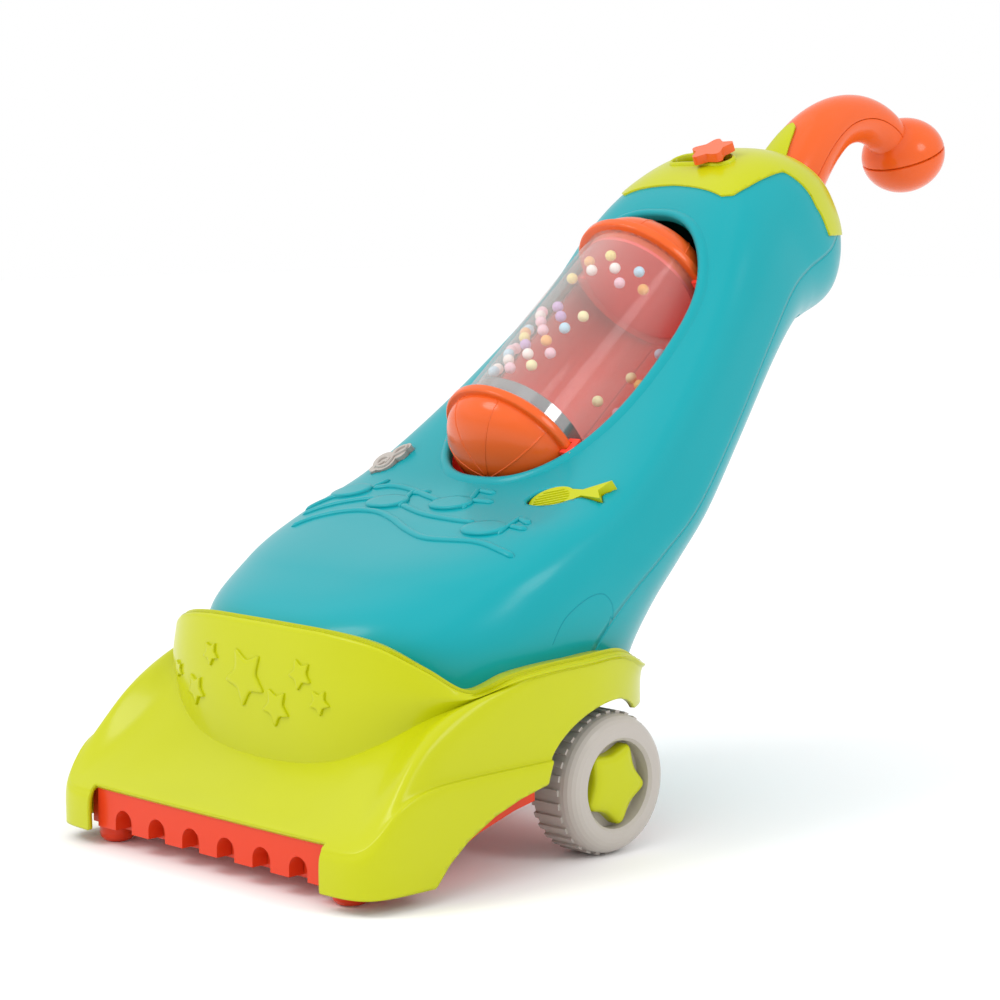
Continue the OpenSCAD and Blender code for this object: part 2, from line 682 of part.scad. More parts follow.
module cradle(u) on_drum() translate([0, 0, u]) difference() {
  intersection() {
    cylinder(h = 2 * (cradle_half + cradle_rib), r = flange_d / 2 + cradle_wall, center = true, $fn = 72);
    translate([-60, cradle_edge, -20]) cube([120, 60, 40]);
  }
  translate([0, 0, -cradle_half]) cylinder(h = 2 * cradle_half, r = flange_d / 2 + cradle_gap, $fn = 72);
  translate([0, 0, -20]) cylinder(h = 40, r = tube_d / 2 + 0.8, $fn = 72);
}

module cradle_web(u) on_drum() translate([0, 0, u]) difference() {
  intersection() {
    translate([-12, flange_d / 2 - 4, -cradle_half - cradle_rib])
      cube([24, liner_depth - flange_d / 2 + 3, 2 * (cradle_half + cradle_rib)]);
    translate([-60, 0, -20]) cube([120, liner_depth - 0.5, 40]);
  }
  translate([0, 0, -20]) cylinder(h = 40, r = flange_d / 2 + 2, $fn = 72);
}

module drum_liner() color(liner_red) union() {
  liner_form(0);
  for (u = [0, drum_len]) {
    cradle(u);
    cradle_web(u);
  }
}

// Drum pieces, all turned about the drum axis
tube_r = tube_d / 2;
cap_lap = 6;
module drum_tube() color("#dfeff2", 0.35) on_drum() translate([0, 0, flange_t / 2]) difference() {
  cylinder(h = drum_len - flange_t, r = tube_r, $fn = 96);
  translate([0, 0, -1]) cylinder(h = drum_len + 2, r = tube_r - tube_wall, $fn = 96);
}

// End cap: the flange is centred on z = 0, the dome points down, the spigot goes up into the tube
module drum_cap() rotate_extrude($fn = 72) polygon(concat(
  [[0, -dome_h]],
  [for (a = [-81:9:0]) [(tube_r + 0.5) * cos(a), -flange_t / 2 + (dome_h - flange_t / 2) * sin(a)]],
  [[flange_d / 2, -flange_t / 2], [flange_d / 2, flange_t / 2], [tube_r - tube_wall - 0.02, flange_t / 2],
    [tube_r - tube_wall - 0.02, cap_lap], [tube_r - tube_wall - 2.4, cap_lap]],
  [for (a = [0:-9:-81])
    [(tube_r - tube_wall - 2.4) * cos(a), -flange_t / 2 + (dome_h - flange_t / 2 - 2.4) * sin(a)]],
  [[0, 2.4 - dome_h]]));

module drum_bottom_cap() color(orange) on_drum() drum_cap();
module drum_top_cap() color(orange) on_drum() translate([0, 0, drum_len]) mirror([0, 0, 1]) drum_cap();

ring_h = 7.5;
module drum_ring() color(steel) on_drum() translate([0, 0, cap_lap]) difference() {
  cylinder(h = ring_h, r = tube_r - tube_wall - 0.1, $fn = 72);
  translate([0, 0, -1]) cylinder(h = ring_h + 2, r = tube_r - tube_wall - 1.6, $fn = 72);
}

module drum_end_plate() color("#f0606a") on_drum() translate([0, 0, drum_len - cap_lap - 2])
  cylinder(h = 2, r = tube_r - tube_wall - 0.3, $fn = 72);

// Loose beads in groups on the inner wall of the tube: count, angles from and to, heights from and to
bead_groups = [[24, 215, 300, 21, 76], [8, 250, 340, 96, 116], [5, 0, 70, 30, 100]];
bead_turn = 0.618;
module drum_beads() color("#f6e6b0") on_drum() for (g = bead_groups, i = [0:g[0] - 1]) {
  turn = i * bead_turn;
  a = mix(g[1], g[2], turn - floor(turn));
  u = mix(g[3], g[4], (i + 0.5) / g[0]);
  r = tube_r - tube_wall - bead_d / 2 - 0.2;
  translate([r * cos(a), r * sin(a), u]) sphere(r = bead_d / 2, $fn = 24);
}

// Push buttons in the front shell, left and right below the window
clef_x = -74;
clef_u = -22;
clef_turn = -29;
note_x = 66;
note_u = -36;
note_turn = 21;
module clef_outline() union() {
  translate([0, -4]) circle(r = 7, $fn = 32);
  translate([1, 5]) circle(r = 4.8, $fn = 32);
  hull() {
    translate([0, -11]) circle(r = 2.6, $fn = 24);
    translate([1, 11]) circle(r = 2.2, $fn = 24);
  }
}
module note_outline() union() {
  translate([-7.5, 0]) polygon(oval(13, 8.5, 2, 40));
  polygon([[2, -5], [10, -2], [22, -7], [19.5, -0.5], [26, 5], [10, 2.4], [2, 5]]);
}

module linear_extrude_between(low, high) translate([0, 0, low]) linear_extrude(height = high - low) children();

module at_clef() on_front(clef_x, clef_u) rotate(clef_turn) children();
module at_note() on_front(note_x, note_u) rotate(note_turn) children();
button_flange = 2.2;
shell_under = -4.5;
module button_flange_plate() linear_extrude_between(shell_under - 2, shell_under)
  offset(r = button_flange, $fn = 24) children();
module button_holes() {
  at_clef() linear_extrude_between(-30, 30) offset(r = button_gap, $fn = 24) clef_outline();
  at_note() linear_extrude_between(-30, 30) offset(r = button_gap, $fn = 24) note_outline();
  at_clef() linear_extrude_between(-30, shell_under + contact_gap)
    offset(r = button_flange + button_gap, $fn = 24) clef_outline();
  at_note() linear_extrude_between(-30, shell_under + contact_gap)
    offset(r = button_flange + button_gap, $fn = 24) note_outline();
}

module clef_button() color(pearl) at_clef() {
  linear_extrude_between(shell_under - 1, button_top) clef_outline();
  button_flange_plate() clef_outline();
}
module note_button() color(lime) at_note() {
  linear_extrude_between(shell_under - 1, button_top) note_outline();
  button_flange_plate() note_outline();
}

// Circuit board behind the buttons, hung on posts of the front shell
board_top = shell_under - 2 - button_travel - contact_gap - 4;
board_t = 1.6;
board_w = 164;
board_l = 34;
board_u = -46;
board_spots = [[34, -12], [34, 12], [70, -12]];
key_spots = [[-77, -32.5], [62, -37]];
module board_posts(r, high) mirrored() for (p = board_spots)
  on_front(p[0], board_u + p[1]) linear_extrude_between(board_top, high) circle(r = r, $fn = 20);
module board_posts_holes() mirrored() for (p = board_spots) on_front(p[0], board_u + p[1])
  linear_extrude_between(board_top - 1, board_top + 6) circle(r = screw_hole_r, $fn = 20);

module control_board() color("#2e7d4f") on_front(0, board_u) difference() {
  slab(board_w, board_l, board_top - board_t, board_top);
  mirrored() for (p = board_spots)
    translate([p[0], p[1], board_top - 5]) cylinder(h = 10, r = screw_hole_r, $fn = 24);
}
module key_switches() color(dark) for (p = key_spots) on_front(p[0], p[1]) {
  slab(6, 6, board_top, board_top + 2.6);
  translate([0, 0, board_top + 2.6]) cylinder(h = 1, r = 1.6, $fn = 24);
}
module board_screws() color(steel) mirrored() for (p = board_spots)
  on_front(p[0], board_u + p[1]) translate([0, 0, board_top - board_t]) rotate([180, 0, 0]) screw(6);

// Lime cap on top of the body, with the slot for the star and a tongue up the handle
module top_cap() color(lime) skin() difference() {
  union() {
    intersection() {
      difference() {
        body_solid(cap_proud);
        body_solid(-cap_t + cap_proud);
      }
      cap_prism(0);
    }
    intersection() {
      difference() {
        body_solid(cap_proud + 1.4);
        body_solid(0);
      }
      difference() {
        slot_prism(slot_lip);
        slot_prism(0);
      }
    }
    tongue();
  }
  slot_prism(0);
  handle_solid(contact_gap);
}

// Tongue: a tapered plate that lies on the front of the handle
tongue_plan = [[-15, 112], [15, 112], [13, 128], [4, 153], [2, 155], [-2, 155], [-4, 153], [-13, 128]];
tongue_low_z = 335 + stretch_z;
tongue_t = 2.2;
module tongue() intersection() {
  difference() {
    handle_solid(tongue_t);
    body_solid(cap_proud - cap_t);
  }
  translate([0, stretch_y, tongue_low_z]) linear_extrude(height = 60) polygon(tongue_plan);
}

star_x = 9;
star_low = cap_proud + 2.6;
star_t = 5;
stem_len = 11;
carriage_t = 2;
module at_star() on_top() translate([star_x, 0, star_low]) children();
module star_knob() color(orange) at_star() {
  linear_extrude(height = star_t) rotate(20) soft_star(star_r, star_r * 0.56, 2.6);
  translate([0, 0, -stem_len]) cylinder(h = stem_len + 0.5, r = slot_r - contact_gap, $fn = 40);
}
module slide_carriage() color(red_orange) at_star() slab(20, 15, -stem_len - carriage_t, -stem_len);
module slide_switch() color(dark) on_top() difference() {
  slab(60, 16, star_low - stem_len - carriage_t - 9, star_low - stem_len - carriage_t - contact_gap);
  slab(54, 4, star_low - stem_len - carriage_t - 3, star_low);
}

// Battery tray, cells, contacts and door
module battery_tray() color(dark) on_back(bay_station) difference() {
  union() {
    slab(tray_w, tray_l, door_z - door_t - tray_h, door_z - door_t);
    slab(tray_w + 2 * flange, tray_l + 2 * flange, door_z - door_t - 2, door_z - door_t);
    tab(0, door_z - door_t - 2, door_z - door_t);
  }
  slab(tray_w - 2 * tray_wall, tray_l - 2 * tray_wall, tray_floor_z, 5);
  translate([0, tab_y, door_z - door_t - 3]) cylinder(h = 5, r = screw_hole_r, $fn = 24);
}
module batteries() color("#c58a3a") on_back(bay_station) for (i = [0:cells - 1])
  translate([(i - (cells - 1) / 2) * cell_pitch, 0, tray_floor_z + cell_d / 2 + 0.1]) {
    rotate([90, 0, 0]) cylinder(h = cell_len - 1.5, r = cell_d / 2, center = true, $fn = 40);
    rotate([90, 0, i % 2 == 0 ? 0 : 180]) cylinder(h = cell_len / 2 + 0.3, r = 2.7, $fn = 24);
  }
module battery_contacts() color(steel) on_back(bay_station) for (i = [0:cells - 1], side = [-1, 1])
  translate([(i - (cells - 1) / 2) * cell_pitch, side * (cell_len / 2 + 3.1), tray_floor_z])
    slab(cell_d - 4, 0.6, 0, cell_d - 2);
module battery_door() color(teal) on_back(bay_station) difference() {
  union() {
    slab(tray_w + 2 * flange, tray_l + 2 * flange, door_z - door_t, door_z);
    tab(0, door_z - door_t, door_z);
  }
  translate([0, tab_y, door_z - door_t - 1]) cylinder(h = 6, r = screw_hole_r, $fn = 24);
}
module battery_door_screw() color(steel) on_back(bay_station)
  translate([0, tab_y, door_z]) screw(door_t + 1.6);

module speaker() color(dark) on_back(speaker_station) translate([0, 0, -speaker_gap - 2]) rotate([180, 0, 0]) {
  cylinder(h = 3, r = speaker_d / 2, $fn = 48);
  translate([0, 0, 2.9]) cylinder(h = 4, r1 = speaker_d / 2 - 2, r2 = speaker_d / 4 + 2, $fn = 48);
  translate([0, 0, 6.8]) cylinder(h = speaker_h - 6.8, r = speaker_d / 4 + 2, $fn = 48);
}
module speaker_clamp() color(dark) on_back(speaker_station) translate([0, 0, -speaker_gap - 7]) difference() {
  cylinder(h = 2, r = speaker_d / 2, $fn = 48);
  translate([0, 0, -1]) cylinder(h = 4, r = speaker_d / 2 - 1.6, $fn = 48);
}

// Screws that join the handle halves: the head is let into the underside
handle_screw_spots = [3.2, 5.6];
module at_handle(s) {
  r = along(handle_rows, s);
  d = handle_dir(s);
  translate([0, r[0], r[1]]) rotate([atan2(d[1], d[0]), 0, 0]) children();
}
module handle_bosses() intersection() {
  handle_solid(-0.8);
  for (s = handle_screw_spots) at_handle(s) cylinder(h = 60, r = 4.6, center = true, $fn = 24);
}
module handle_holes() {
  for (s = handle_screw_spots) at_handle(s) {
    translate([0, 0, -30]) cylinder(h = 36, r = screw_hole_r, $fn = 24);
    translate([0, 0, -30]) cylinder(h = 25, r = screw_head_r + 0.3, $fn = 24);
  }
  handle_pin_hole();
}
// Parting surface of the handle, everything on the outside of the bend
module outer_side() along_x(100) polygon(concat(
  [for (k = [0:handle_last * handle_steps]) let (r = along(handle_rows, k / handle_steps)) [r[0], r[1]]],
  [[knob_at[1] + 30, 300], [knob_at[1] + 30, 430], [60, 430], [60, 240]]));
module handle_upper() color(orange) skin() difference() {
  union() {
    handle_half(-90);
    intersection() {
      handle_bosses();
      outer_side();
    }
  }
  handle_holes();
}
module handle_lower() color(orange) skin() difference() {
  union() {
    handle_half(90);
    difference() {
      handle_bosses();
      outer_side();
    }
  }
  handle_holes();
}
module handle_screws() color(steel) for (s = handle_screw_spots)
  at_handle(s) translate([0, 0, -5]) rotate([180, 0, 0]) screw(10);

// Steel pin across the root of the handle, clamped between half bosses of the two body shells
pin_r = 2.5;
pin_half = 30;
pin_at = along(handle_rows, 0.5);
module at_pin() translate([0, pin_at[0], pin_at[1]]) rotate([0, 90, 0]) children();
module handle_pin() color(steel) at_pin() cylinder(h = 2 * pin_half, r = pin_r, center = true, $fn = 32);
module handle_pin_hole() at_pin() cylinder(h = 80, r = pin_r + 0.05, center = true, $fn = 32);
module pin_bosses() difference() {
  at_pin() cylinder(h = 120, r = 6, center = true, $fn = 32);
  at_pin() cylinder(h = 46, r = 20, center = true, $fn = 32);
}

// Knob at the end of the handle: two hollow halves about a tilted axis
knob_at = [0, 261 + stretch_y, 345 + stretch_z];
knob_tilt = 22;
module on_knob() translate(knob_at) rotate([knob_tilt, 0, 0]) children();
function knob_arc(shrink, from, to, n = 12) = [for (i = [0:n]) let (a = from + (to - from) * i / n)
  [(knob_d / 2 - shrink) * cos(a), (knob_h / 2 - shrink) * sin(a)]];
module knob_upper() color(orange) skin() difference() {
  on_knob() rotate_extrude($fn = 40) polygon(concat([[0, knob_h / 2]], knob_arc(0, 80, 0, 8),
    knob_arc(handle_wall, 0, 80, 8), [[0, knob_h / 2 - handle_wall]]));
  handle_solid(contact_gap);
}
module knob_lower() color(orange) on_knob() rotate_extrude($fn = 56)
  polygon(concat([[0, -knob_h / 2]], knob_arc(0, -82, 0), knob_arc(handle_wall, 0, -82),
    [[0, handle_wall - knob_h / 2]]));

head_shell();
chassis();
front_comb();
front_glides();
nose_weight();
weight_screws();
chassis_screws();
rear_axle();
axle_push_nuts();
wheel_left();
wheel_right();
hub_star_left();
hub_star_right();
base_plate();
base_screws();
body_front_shell();
body_rear_shell();
body_screws();
drum_liner();
drum_tube();
drum_bottom_cap();
drum_top_cap();
drum_ring();
drum_end_plate();
drum_beads();
clef_button();
note_button();
control_board();
key_switches();
board_screws();
top_cap();
star_knob();
slide_carriage();
slide_switch();
battery_tray();
batteries();
battery_contacts();
battery_door();
battery_door_screw();
speaker();
speaker_clamp();
handle_upper();
handle_lower();
handle_screws();
handle_pin();
knob_upper();
knob_lower();
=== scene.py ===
import math

import bmesh
import bpy
import numpy as np
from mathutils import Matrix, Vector
from mathutils.bvhtree import BVHTree


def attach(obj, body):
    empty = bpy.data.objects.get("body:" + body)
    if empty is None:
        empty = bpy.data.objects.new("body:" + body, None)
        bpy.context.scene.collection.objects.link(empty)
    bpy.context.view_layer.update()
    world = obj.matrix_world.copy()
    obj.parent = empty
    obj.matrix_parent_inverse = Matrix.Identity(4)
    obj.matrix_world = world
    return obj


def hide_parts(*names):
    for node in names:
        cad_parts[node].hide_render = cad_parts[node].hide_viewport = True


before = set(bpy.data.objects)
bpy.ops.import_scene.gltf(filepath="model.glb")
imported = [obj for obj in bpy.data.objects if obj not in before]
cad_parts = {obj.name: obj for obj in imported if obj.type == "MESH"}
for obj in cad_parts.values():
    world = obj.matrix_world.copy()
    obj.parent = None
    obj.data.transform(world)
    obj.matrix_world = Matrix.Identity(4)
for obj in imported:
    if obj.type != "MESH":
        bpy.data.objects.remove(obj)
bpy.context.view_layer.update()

ROOT = "toy"
MM = 0.001

# Sizes shared with the solids, in millimetres
BODY_ROWS = [
    [-242, 80, -46, 80, 101, 2.4], [-240, 116, -42, 92, 103, 2.4], [-203, 139, -31, 113, 104, 3.0],
    [-151, 158, -15, 134, 102, 4.6], [-99, 177, 3, 156, 98, 6.0], [-45, 217, 34, 187, 87, 5.0],
    [6, 268, 76, 225, 73, 3.8], [35, 309, 105, 245, 65, 3.2], [58, 331, 123, 250, 60, 2.9],
    [88, 345, 148, 260, 55, 2.8], [115, 347, 159, 283, 45, 2.6], [138, 338, 156, 304, 31, 2.4],
    [149, 326, 152, 316, 10, 2.2]]
BACK_SQUARENESS = 2.5
SEAM_SHARE = 0.61
WALL = 2.4
WINDOW_LOW = np.array([-97.0, 177.0])
WINDOW_HIGH = np.array([33.0, 315.0])
WINDOW_HALF_W = 55.0
WINDOW_SQUARENESS = 2.5
AXIS_AT = np.array([0.0, -71.7, 192.6])
AXIS_TILT = 39.5
SKIRT_PLAN = (-287.0, -37.0, 119.0, 14.0)
VISOR_PLAN = (-246.0, -41.0, 117.0, 3.0)
REAR_SQUARENESS = 2.3
NOSE_HEIGHTS = [31, 31, 32, 35, 41, 50, 58, 62, 62, 60, 60, 60, 60]
CREASE_HEIGHTS = [52, 57, 68, 80.5, 89, 96, 99, 99, 90, 85, 83, 82, 82]
RIM_HEIGHTS = [119, 118, 113.5, 103.5, 92.5, 99, 102, 102, 94, 89, 87, 86, 86]
SWELL_HEIGHTS = [-1, -1, 0, 4, 7, 8, 6, 5, 4, 4, 4, 4, 4]
MOUTH_HALF_W = 87.0
MOUTH_TOP = 31.0
MOUTH_BACK_Y = -268.0
SKIRT_LOW_Z = 7.9
SKIRT_CURVE = [[-243, 8], [-234, 18], [-222, 27], [-205, 35.5], [-188, 41], [-172, 44.5], [-150, 47]]
FENDER_Z = 69.0
AXLE = np.array([-115.0, 36.0])
ARCH_R = 42.0
ARCH_STRETCH = 1.3
HANDLE_ROWS = [
    [122, 283, 21], [140, 310, 21], [156, 334, 20], [174, 352, 18], [194, 363, 15.5], [216, 366, 13.8],
    [236, 361, 12.8], [250, 350, 12.4], [256, 340, 12.4]]
KNOB_AT = np.array([0.0, 261.0, 345.0])
KNOB_TILT = 22.0
KNOB_R = 25.0
KNOB_HALF_H = 22.0
TUBE_R = 38.0
TUBE_WALL = 2.0
DRUM_LEN = 132.0
FLANGE_R = 42.0
FLANGE_T = 5.0
DOME_H = 25.0


# Curves
def along(rows, s):
    """Values of a smooth curve through the rows, at s counted in rows."""
    rows = np.asarray(rows, float)
    s = np.asarray(s, float)
    i = np.clip(np.floor(s).astype(int), 0, len(rows) - 2)
    t = s - i
    if rows.ndim > 1:
        t = t[..., None]
    a, b = rows[np.maximum(i - 1, 0)], rows[i]
    c, d = rows[i + 1], rows[np.minimum(i + 2, len(rows) - 1)]
    return (2 * b + (c - a) * t + (2 * a - 5 * b + 4 * c - d) * t * t + (3 * b - a - 3 * c + d) * t ** 3) / 2


def bend(v, e):
    """A power that keeps the sign."""
    return np.sign(v) * np.abs(v) ** e


def spread(n, k):
    """Fractions from 0 to 1 that crowd towards both ends."""
    q = np.linspace(0, 1, n)
    return q ** k / (q ** k + (1 - q) ** k)


# Meshes
def unit(v):
    return v / np.linalg.norm(v, axis=-1, keepdims=True)


def grid_faces(rows, cols, wrap=False):
    out = []
    for r in range(rows - 1):
        for c in range(cols if wrap else cols - 1):
            d = (c + 1) % cols
            out.append([r * cols + c, r * cols + d, (r + 1) * cols + d, (r + 1) * cols + c])
    return out


def clip(verts, faces, value):
    """Keeps the part of a mesh where value is not negative, cutting the faces on the border."""
    keep = value >= 0
    new, cache, out = [], {}, []
    for face in faces:
        inside = [keep[i] for i in face]
        if all(inside):
            out.append(face)
            continue
        if not any(inside):
            continue
        ring = []
        for i, j in zip(face, face[1:] + face[:1]):
            if keep[i]:
                ring.append(i)
            if keep[i] != keep[j]:
                key = (min(i, j), max(i, j))
                if key not in cache:
                    t = value[i] / (value[i] - value[j])
                    cache[key] = len(verts) + len(new)
                    new.append(verts[i] + (verts[j] - verts[i]) * t)
                ring.append(cache[key])
        if len(ring) > 2:
            out.append(ring)
    if new:
        verts = np.vstack([verts, new])
    used = sorted({i for f in out for i in f})
    index = {old: k for k, old in enumerate(used)}
    return verts[used], [[index[i] for i in f] for f in out]


def make(name, verts, faces, mat, body=ROOT, replaces=(), sharp=35, thick=0.0, weld=0.0):
    """A smooth piece of millimetre points that rides a body; thick gives the skin a wall inwards."""
    mesh = bpy.data.meshes.new(name)
    mesh.from_pydata([tuple(v) for v in np.asarray(verts) * MM], [], faces)
    bm = bmesh.new()
    bm.from_mesh(mesh)
    bmesh.ops.remove_doubles(bm, verts=bm.verts, dist=max(weld, 1e-4) * MM)
    for f in bm.faces:
        f.smooth = True
    for e in bm.edges:
        if len(e.link_faces) == 2 and e.calc_face_angle(0) > math.radians(sharp):
            e.smooth = False
    bm.to_mesh(mesh)
    bm.free()
    obj = bpy.data.objects.new(name, mesh)
    bpy.context.scene.collection.objects.link(obj)
    mesh.materials.append(mat)
    if thick:
        mod = obj.modifiers.new("wall", "SOLIDIFY")
        mod.thickness = thick * MM
        mod.offset = -1
    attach(obj, body)
    if replaces:
        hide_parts(*replaces)
    return obj


def face_normal(verts, f):
    return np.cross(verts[f[1]] - verts[f[0]], verts[f[2]] - verts[f[0]])


def turned(faces):
    return [f[::-1] for f in faces]


def faced_out(verts, faces, centre):
    """Turns all faces when most of them look towards the centre."""
    verts = np.asarray(verts)
    score = 0.0
    for f in faces[:: max(1, len(faces) // 400)]:
        score += np.dot(face_normal(verts, f), verts[f[0]] - centre)
    return faces if score > 0 else turned(faces)


def lathe(profile, steps=96):
    """Closed surface of a profile of (radius, height) points turned about the z axis."""
    profile = np.asarray(profile, float)
    a = np.linspace(0, 2 * np.pi, steps, endpoint=False)
    pts = np.array([[r * np.cos(a), r * np.sin(a), np.full(steps, z)] for r, z in profile])
    verts = pts.transpose(0, 2, 1).reshape(-1, 3)
    return verts, grid_faces(len(profile), steps, wrap=True)


def sweep(path, normal, profile, closed):
    """Moves a profile of (sideways, outward) points along a path; sideways is tangent x normal."""
    path, normal = np.asarray(path, float), unit(np.asarray(normal, float))
    if closed:
        tangent = np.roll(path, -1, 0) - np.roll(path, 1, 0)
    else:
        tangent = np.gradient(path, axis=0)
    side = unit(np.cross(unit(tangent), normal))
    pts = np.array([[p + s * u + n * v for u, v in profile] for p, s, n in zip(path, side, normal)])
    rows, cols = pts.shape[:2]
    faces = grid_faces(rows, cols)
    if closed:
        faces += [[(rows - 1) * cols + c, (rows - 1) * cols + c + 1, c + 1, c] for c in range(cols - 1)]
    return pts.reshape(-1, 3), faces


def ray_skin(verts, faces):
    """A skin that drop can send rays to."""
    return BVHTree.FromPolygons([tuple(v) for v in verts], faces)


# Materials
def plastic(name, colour, rough=0.28, coat=0.12, speck=0.04):
    """Moulded plastic with a faint change of colour and a fine grain."""
    mat = bpy.data.materials.new(name)
    mat.use_nodes = True
    nodes, links = mat.node_tree.nodes, mat.node_tree.links
    shader = nodes["Principled BSDF"]
    place = nodes.new("ShaderNodeTexCoord")
    noise = nodes.new("ShaderNodeTexNoise")
    noise.inputs["Scale"].default_value = 14
    noise.inputs["Detail"].default_value = 3
    ramp = nodes.new("ShaderNodeValToRGB")
    low = [max(0.0, c * (1 - speck)) for c in colour]
    high = [min(1.0, c * (1 + speck)) for c in colour]
    ramp.color_ramp.elements[0].color = (*low, 1)
    ramp.color_ramp.elements[1].color = (*high, 1)
    links.new(place.outputs["Object"], noise.inputs["Vector"])
    links.new(noise.outputs["Fac"], ramp.inputs["Fac"])
    links.new(ramp.outputs["Color"], shader.inputs["Base Color"])
    grain = nodes.new("ShaderNodeTexNoise")
    grain.inputs["Scale"].default_value = 900
    bump = nodes.new("ShaderNodeBump")
    bump.inputs["Strength"].default_value = 0.03
    bump.inputs["Distance"].default_value = 0.0005
    links.new(place.outputs["Object"], grain.inputs["Vector"])
    links.new(grain.outputs["Fac"], bump.inputs["Height"])
    links.new(bump.outputs["Normal"], shader.inputs["Normal"])
    shader.inputs["Roughness"].default_value = rough
    shader.inputs["Specular IOR Level"].default_value = 0.2
    shader.inputs["Coat Weight"].default_value = coat
    shader.inputs["Coat Roughness"].default_value = 0.12
    return mat


def srgb(text):
    v = [int(text[i:i + 2], 16) / 255 for i in (0, 2, 4)]
    return [c / 12.92 if c <= 0.04045 else ((c + 0.055) / 1.055) ** 2.4 for c in v]


LIME = plastic("lime", srgb("B9BE0A"))
TEAL = plastic("teal", srgb("0098A1"))
ORANGE = plastic("orange", srgb("E25C1C"), rough=0.22, coat=0.3)
RED_ORANGE = plastic("red_orange", srgb("D63A18"))
RED = plastic("liner_red", srgb("FF4A38"), rough=0.35)
PEARL = plastic("pearl", srgb("B4ADA6"), rough=0.38)
DARK = plastic("dark", srgb("26282B"), rough=0.5, coat=0.0)
BOARD = plastic("board", srgb("2E7D4F"), rough=0.5, coat=0.0)
CELL = plastic("cell", srgb("C58A3A"), rough=0.3)
PINK = plastic("pink", srgb("EC5F58"), rough=0.25)
STEEL = plastic("steel", srgb("B8BCC2"), rough=0.3, coat=0.0)
STEEL.node_tree.nodes["Principled BSDF"].inputs["Metallic"].default_value = 1.0
CHROME = plastic("chrome", srgb("8E8E90"), rough=0.06, coat=0.0, speck=0.85)
CHROME.node_tree.nodes["Principled BSDF"].inputs["Metallic"].default_value = 1.0


def clear_material():
    """Thin clear plastic: more opaque where it is seen at a slant."""
    mat = plastic("clear", srgb("D8D4CE"), rough=0.06, coat=1.0, speck=0.01)
    nodes, links = mat.node_tree.nodes, mat.node_tree.links
    shader = nodes["Principled BSDF"]
    shader.inputs["Specular IOR Level"].default_value = 0.6
    shader.inputs["Coat Roughness"].default_value = 0.03
    slant = nodes.new("ShaderNodeLayerWeight")
    slant.inputs["Blend"].default_value = 0.35
    veil = nodes.new("ShaderNodeMapRange")
    veil.inputs["To Min"].default_value = 0.04
    veil.inputs["To Max"].default_value = 0.45
    links.new(slant.outputs["Facing"], veil.inputs["Value"])
    links.new(veil.outputs["Result"], shader.inputs["Alpha"])
    return mat


CLEAR = clear_material()


def bead_material():
    """Each loose bead takes one of a few pastel colours."""
    mat = plastic("bead", srgb("F4E6C8"), rough=0.3)
    nodes, links = mat.node_tree.nodes, mat.node_tree.links
    island = nodes.new("ShaderNodeNewGeometry")
    ramp = nodes.new("ShaderNodeValToRGB")
    ramp.color_ramp.interpolation = "CONSTANT"
    hues = ["FBEFEA", "F7E38C", "F6B56A", "C9A3D4", "BFE0F2", "F3C4D2", "F8EDB8"]
    while len(ramp.color_ramp.elements) < len(hues):
        ramp.color_ramp.elements.new(0.5)
    for k, h in enumerate(hues):
        ramp.color_ramp.elements[k].position = k / len(hues)
        ramp.color_ramp.elements[k].color = (*srgb(h), 1)
    links.new(island.outputs["Random Per Island"], ramp.inputs["Fac"])
    links.new(ramp.outputs["Color"], nodes["Principled BSDF"].inputs["Base Color"])
    return mat


BEAD = bead_material()

NODE_LOOKS = {
    "chassis": RED_ORANGE, "front_comb": RED_ORANGE, "front_glides": RED_ORANGE, "slide_carriage": RED_ORANGE,
    "wheel_left": PEARL, "wheel_right": PEARL, "hub_star_left": LIME, "hub_star_right": LIME,
    "base_plate": TEAL, "battery_door": TEAL, "drum_liner": RED, "drum_ring": CHROME, "drum_end_plate": PINK,
    "drum_beads": BEAD, "control_board": BOARD, "batteries": CELL, "key_switches": DARK, "slide_switch": DARK,
    "battery_tray": DARK, "speaker": DARK, "speaker_clamp": DARK, "clef_button": PEARL, "note_button": LIME,
    "star_knob": ORANGE, "knob_lower": ORANGE, "knob_upper": ORANGE}
SOFT_EDGES = {
    "front_comb": 0.9, "note_button": 0.7, "clef_button": 0.6, "star_knob": 1.3, "hub_star_left": 1.8,
    "hub_star_right": 1.8, "battery_door": 0.6, "wheel_left": 0.35, "wheel_right": 0.35, "chassis": 0.5,
    "drum_liner": 0.4}
for node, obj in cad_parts.items():
    look = NODE_LOOKS.get(node, STEEL)
    obj.data.materials.clear()
    obj.data.materials.append(look)
    if node in SOFT_EDGES:
        soft = obj.modifiers.new("soft", "BEVEL")
        soft.width = SOFT_EDGES[node] * MM
        soft.segments = 3
        soft.limit_method = "ANGLE"
        soft.angle_limit = math.radians(38)


# Body shells
def body_point(s, ang, grow=0.0):
    """Points of the body skin at stations s and ring angles in degrees."""
    s, ang = np.broadcast_arrays(np.asarray(s, float), np.asarray(ang, float))
    r = along(BODY_ROWS, s)
    front, back = r[..., 0:2], r[..., 2:4]
    length = np.linalg.norm(back - front, axis=-1)
    way = (back - front) / length[..., None]
    mid = (front + back) / 2
    w, half = np.maximum(r[..., 4] + grow, 1), np.maximum(length / 2 + grow, 1)
    c, sn = np.cos(np.radians(ang)), np.sin(np.radians(ang))
    e = np.where(c > 0, 2 / r[..., 5], 2 / BACK_SQUARENESS)
    t = -half * bend(c, e)
    return np.stack([w * bend(sn, e), mid[..., 0] + way[..., 0] * t, mid[..., 1] + way[..., 1] * t], -1)


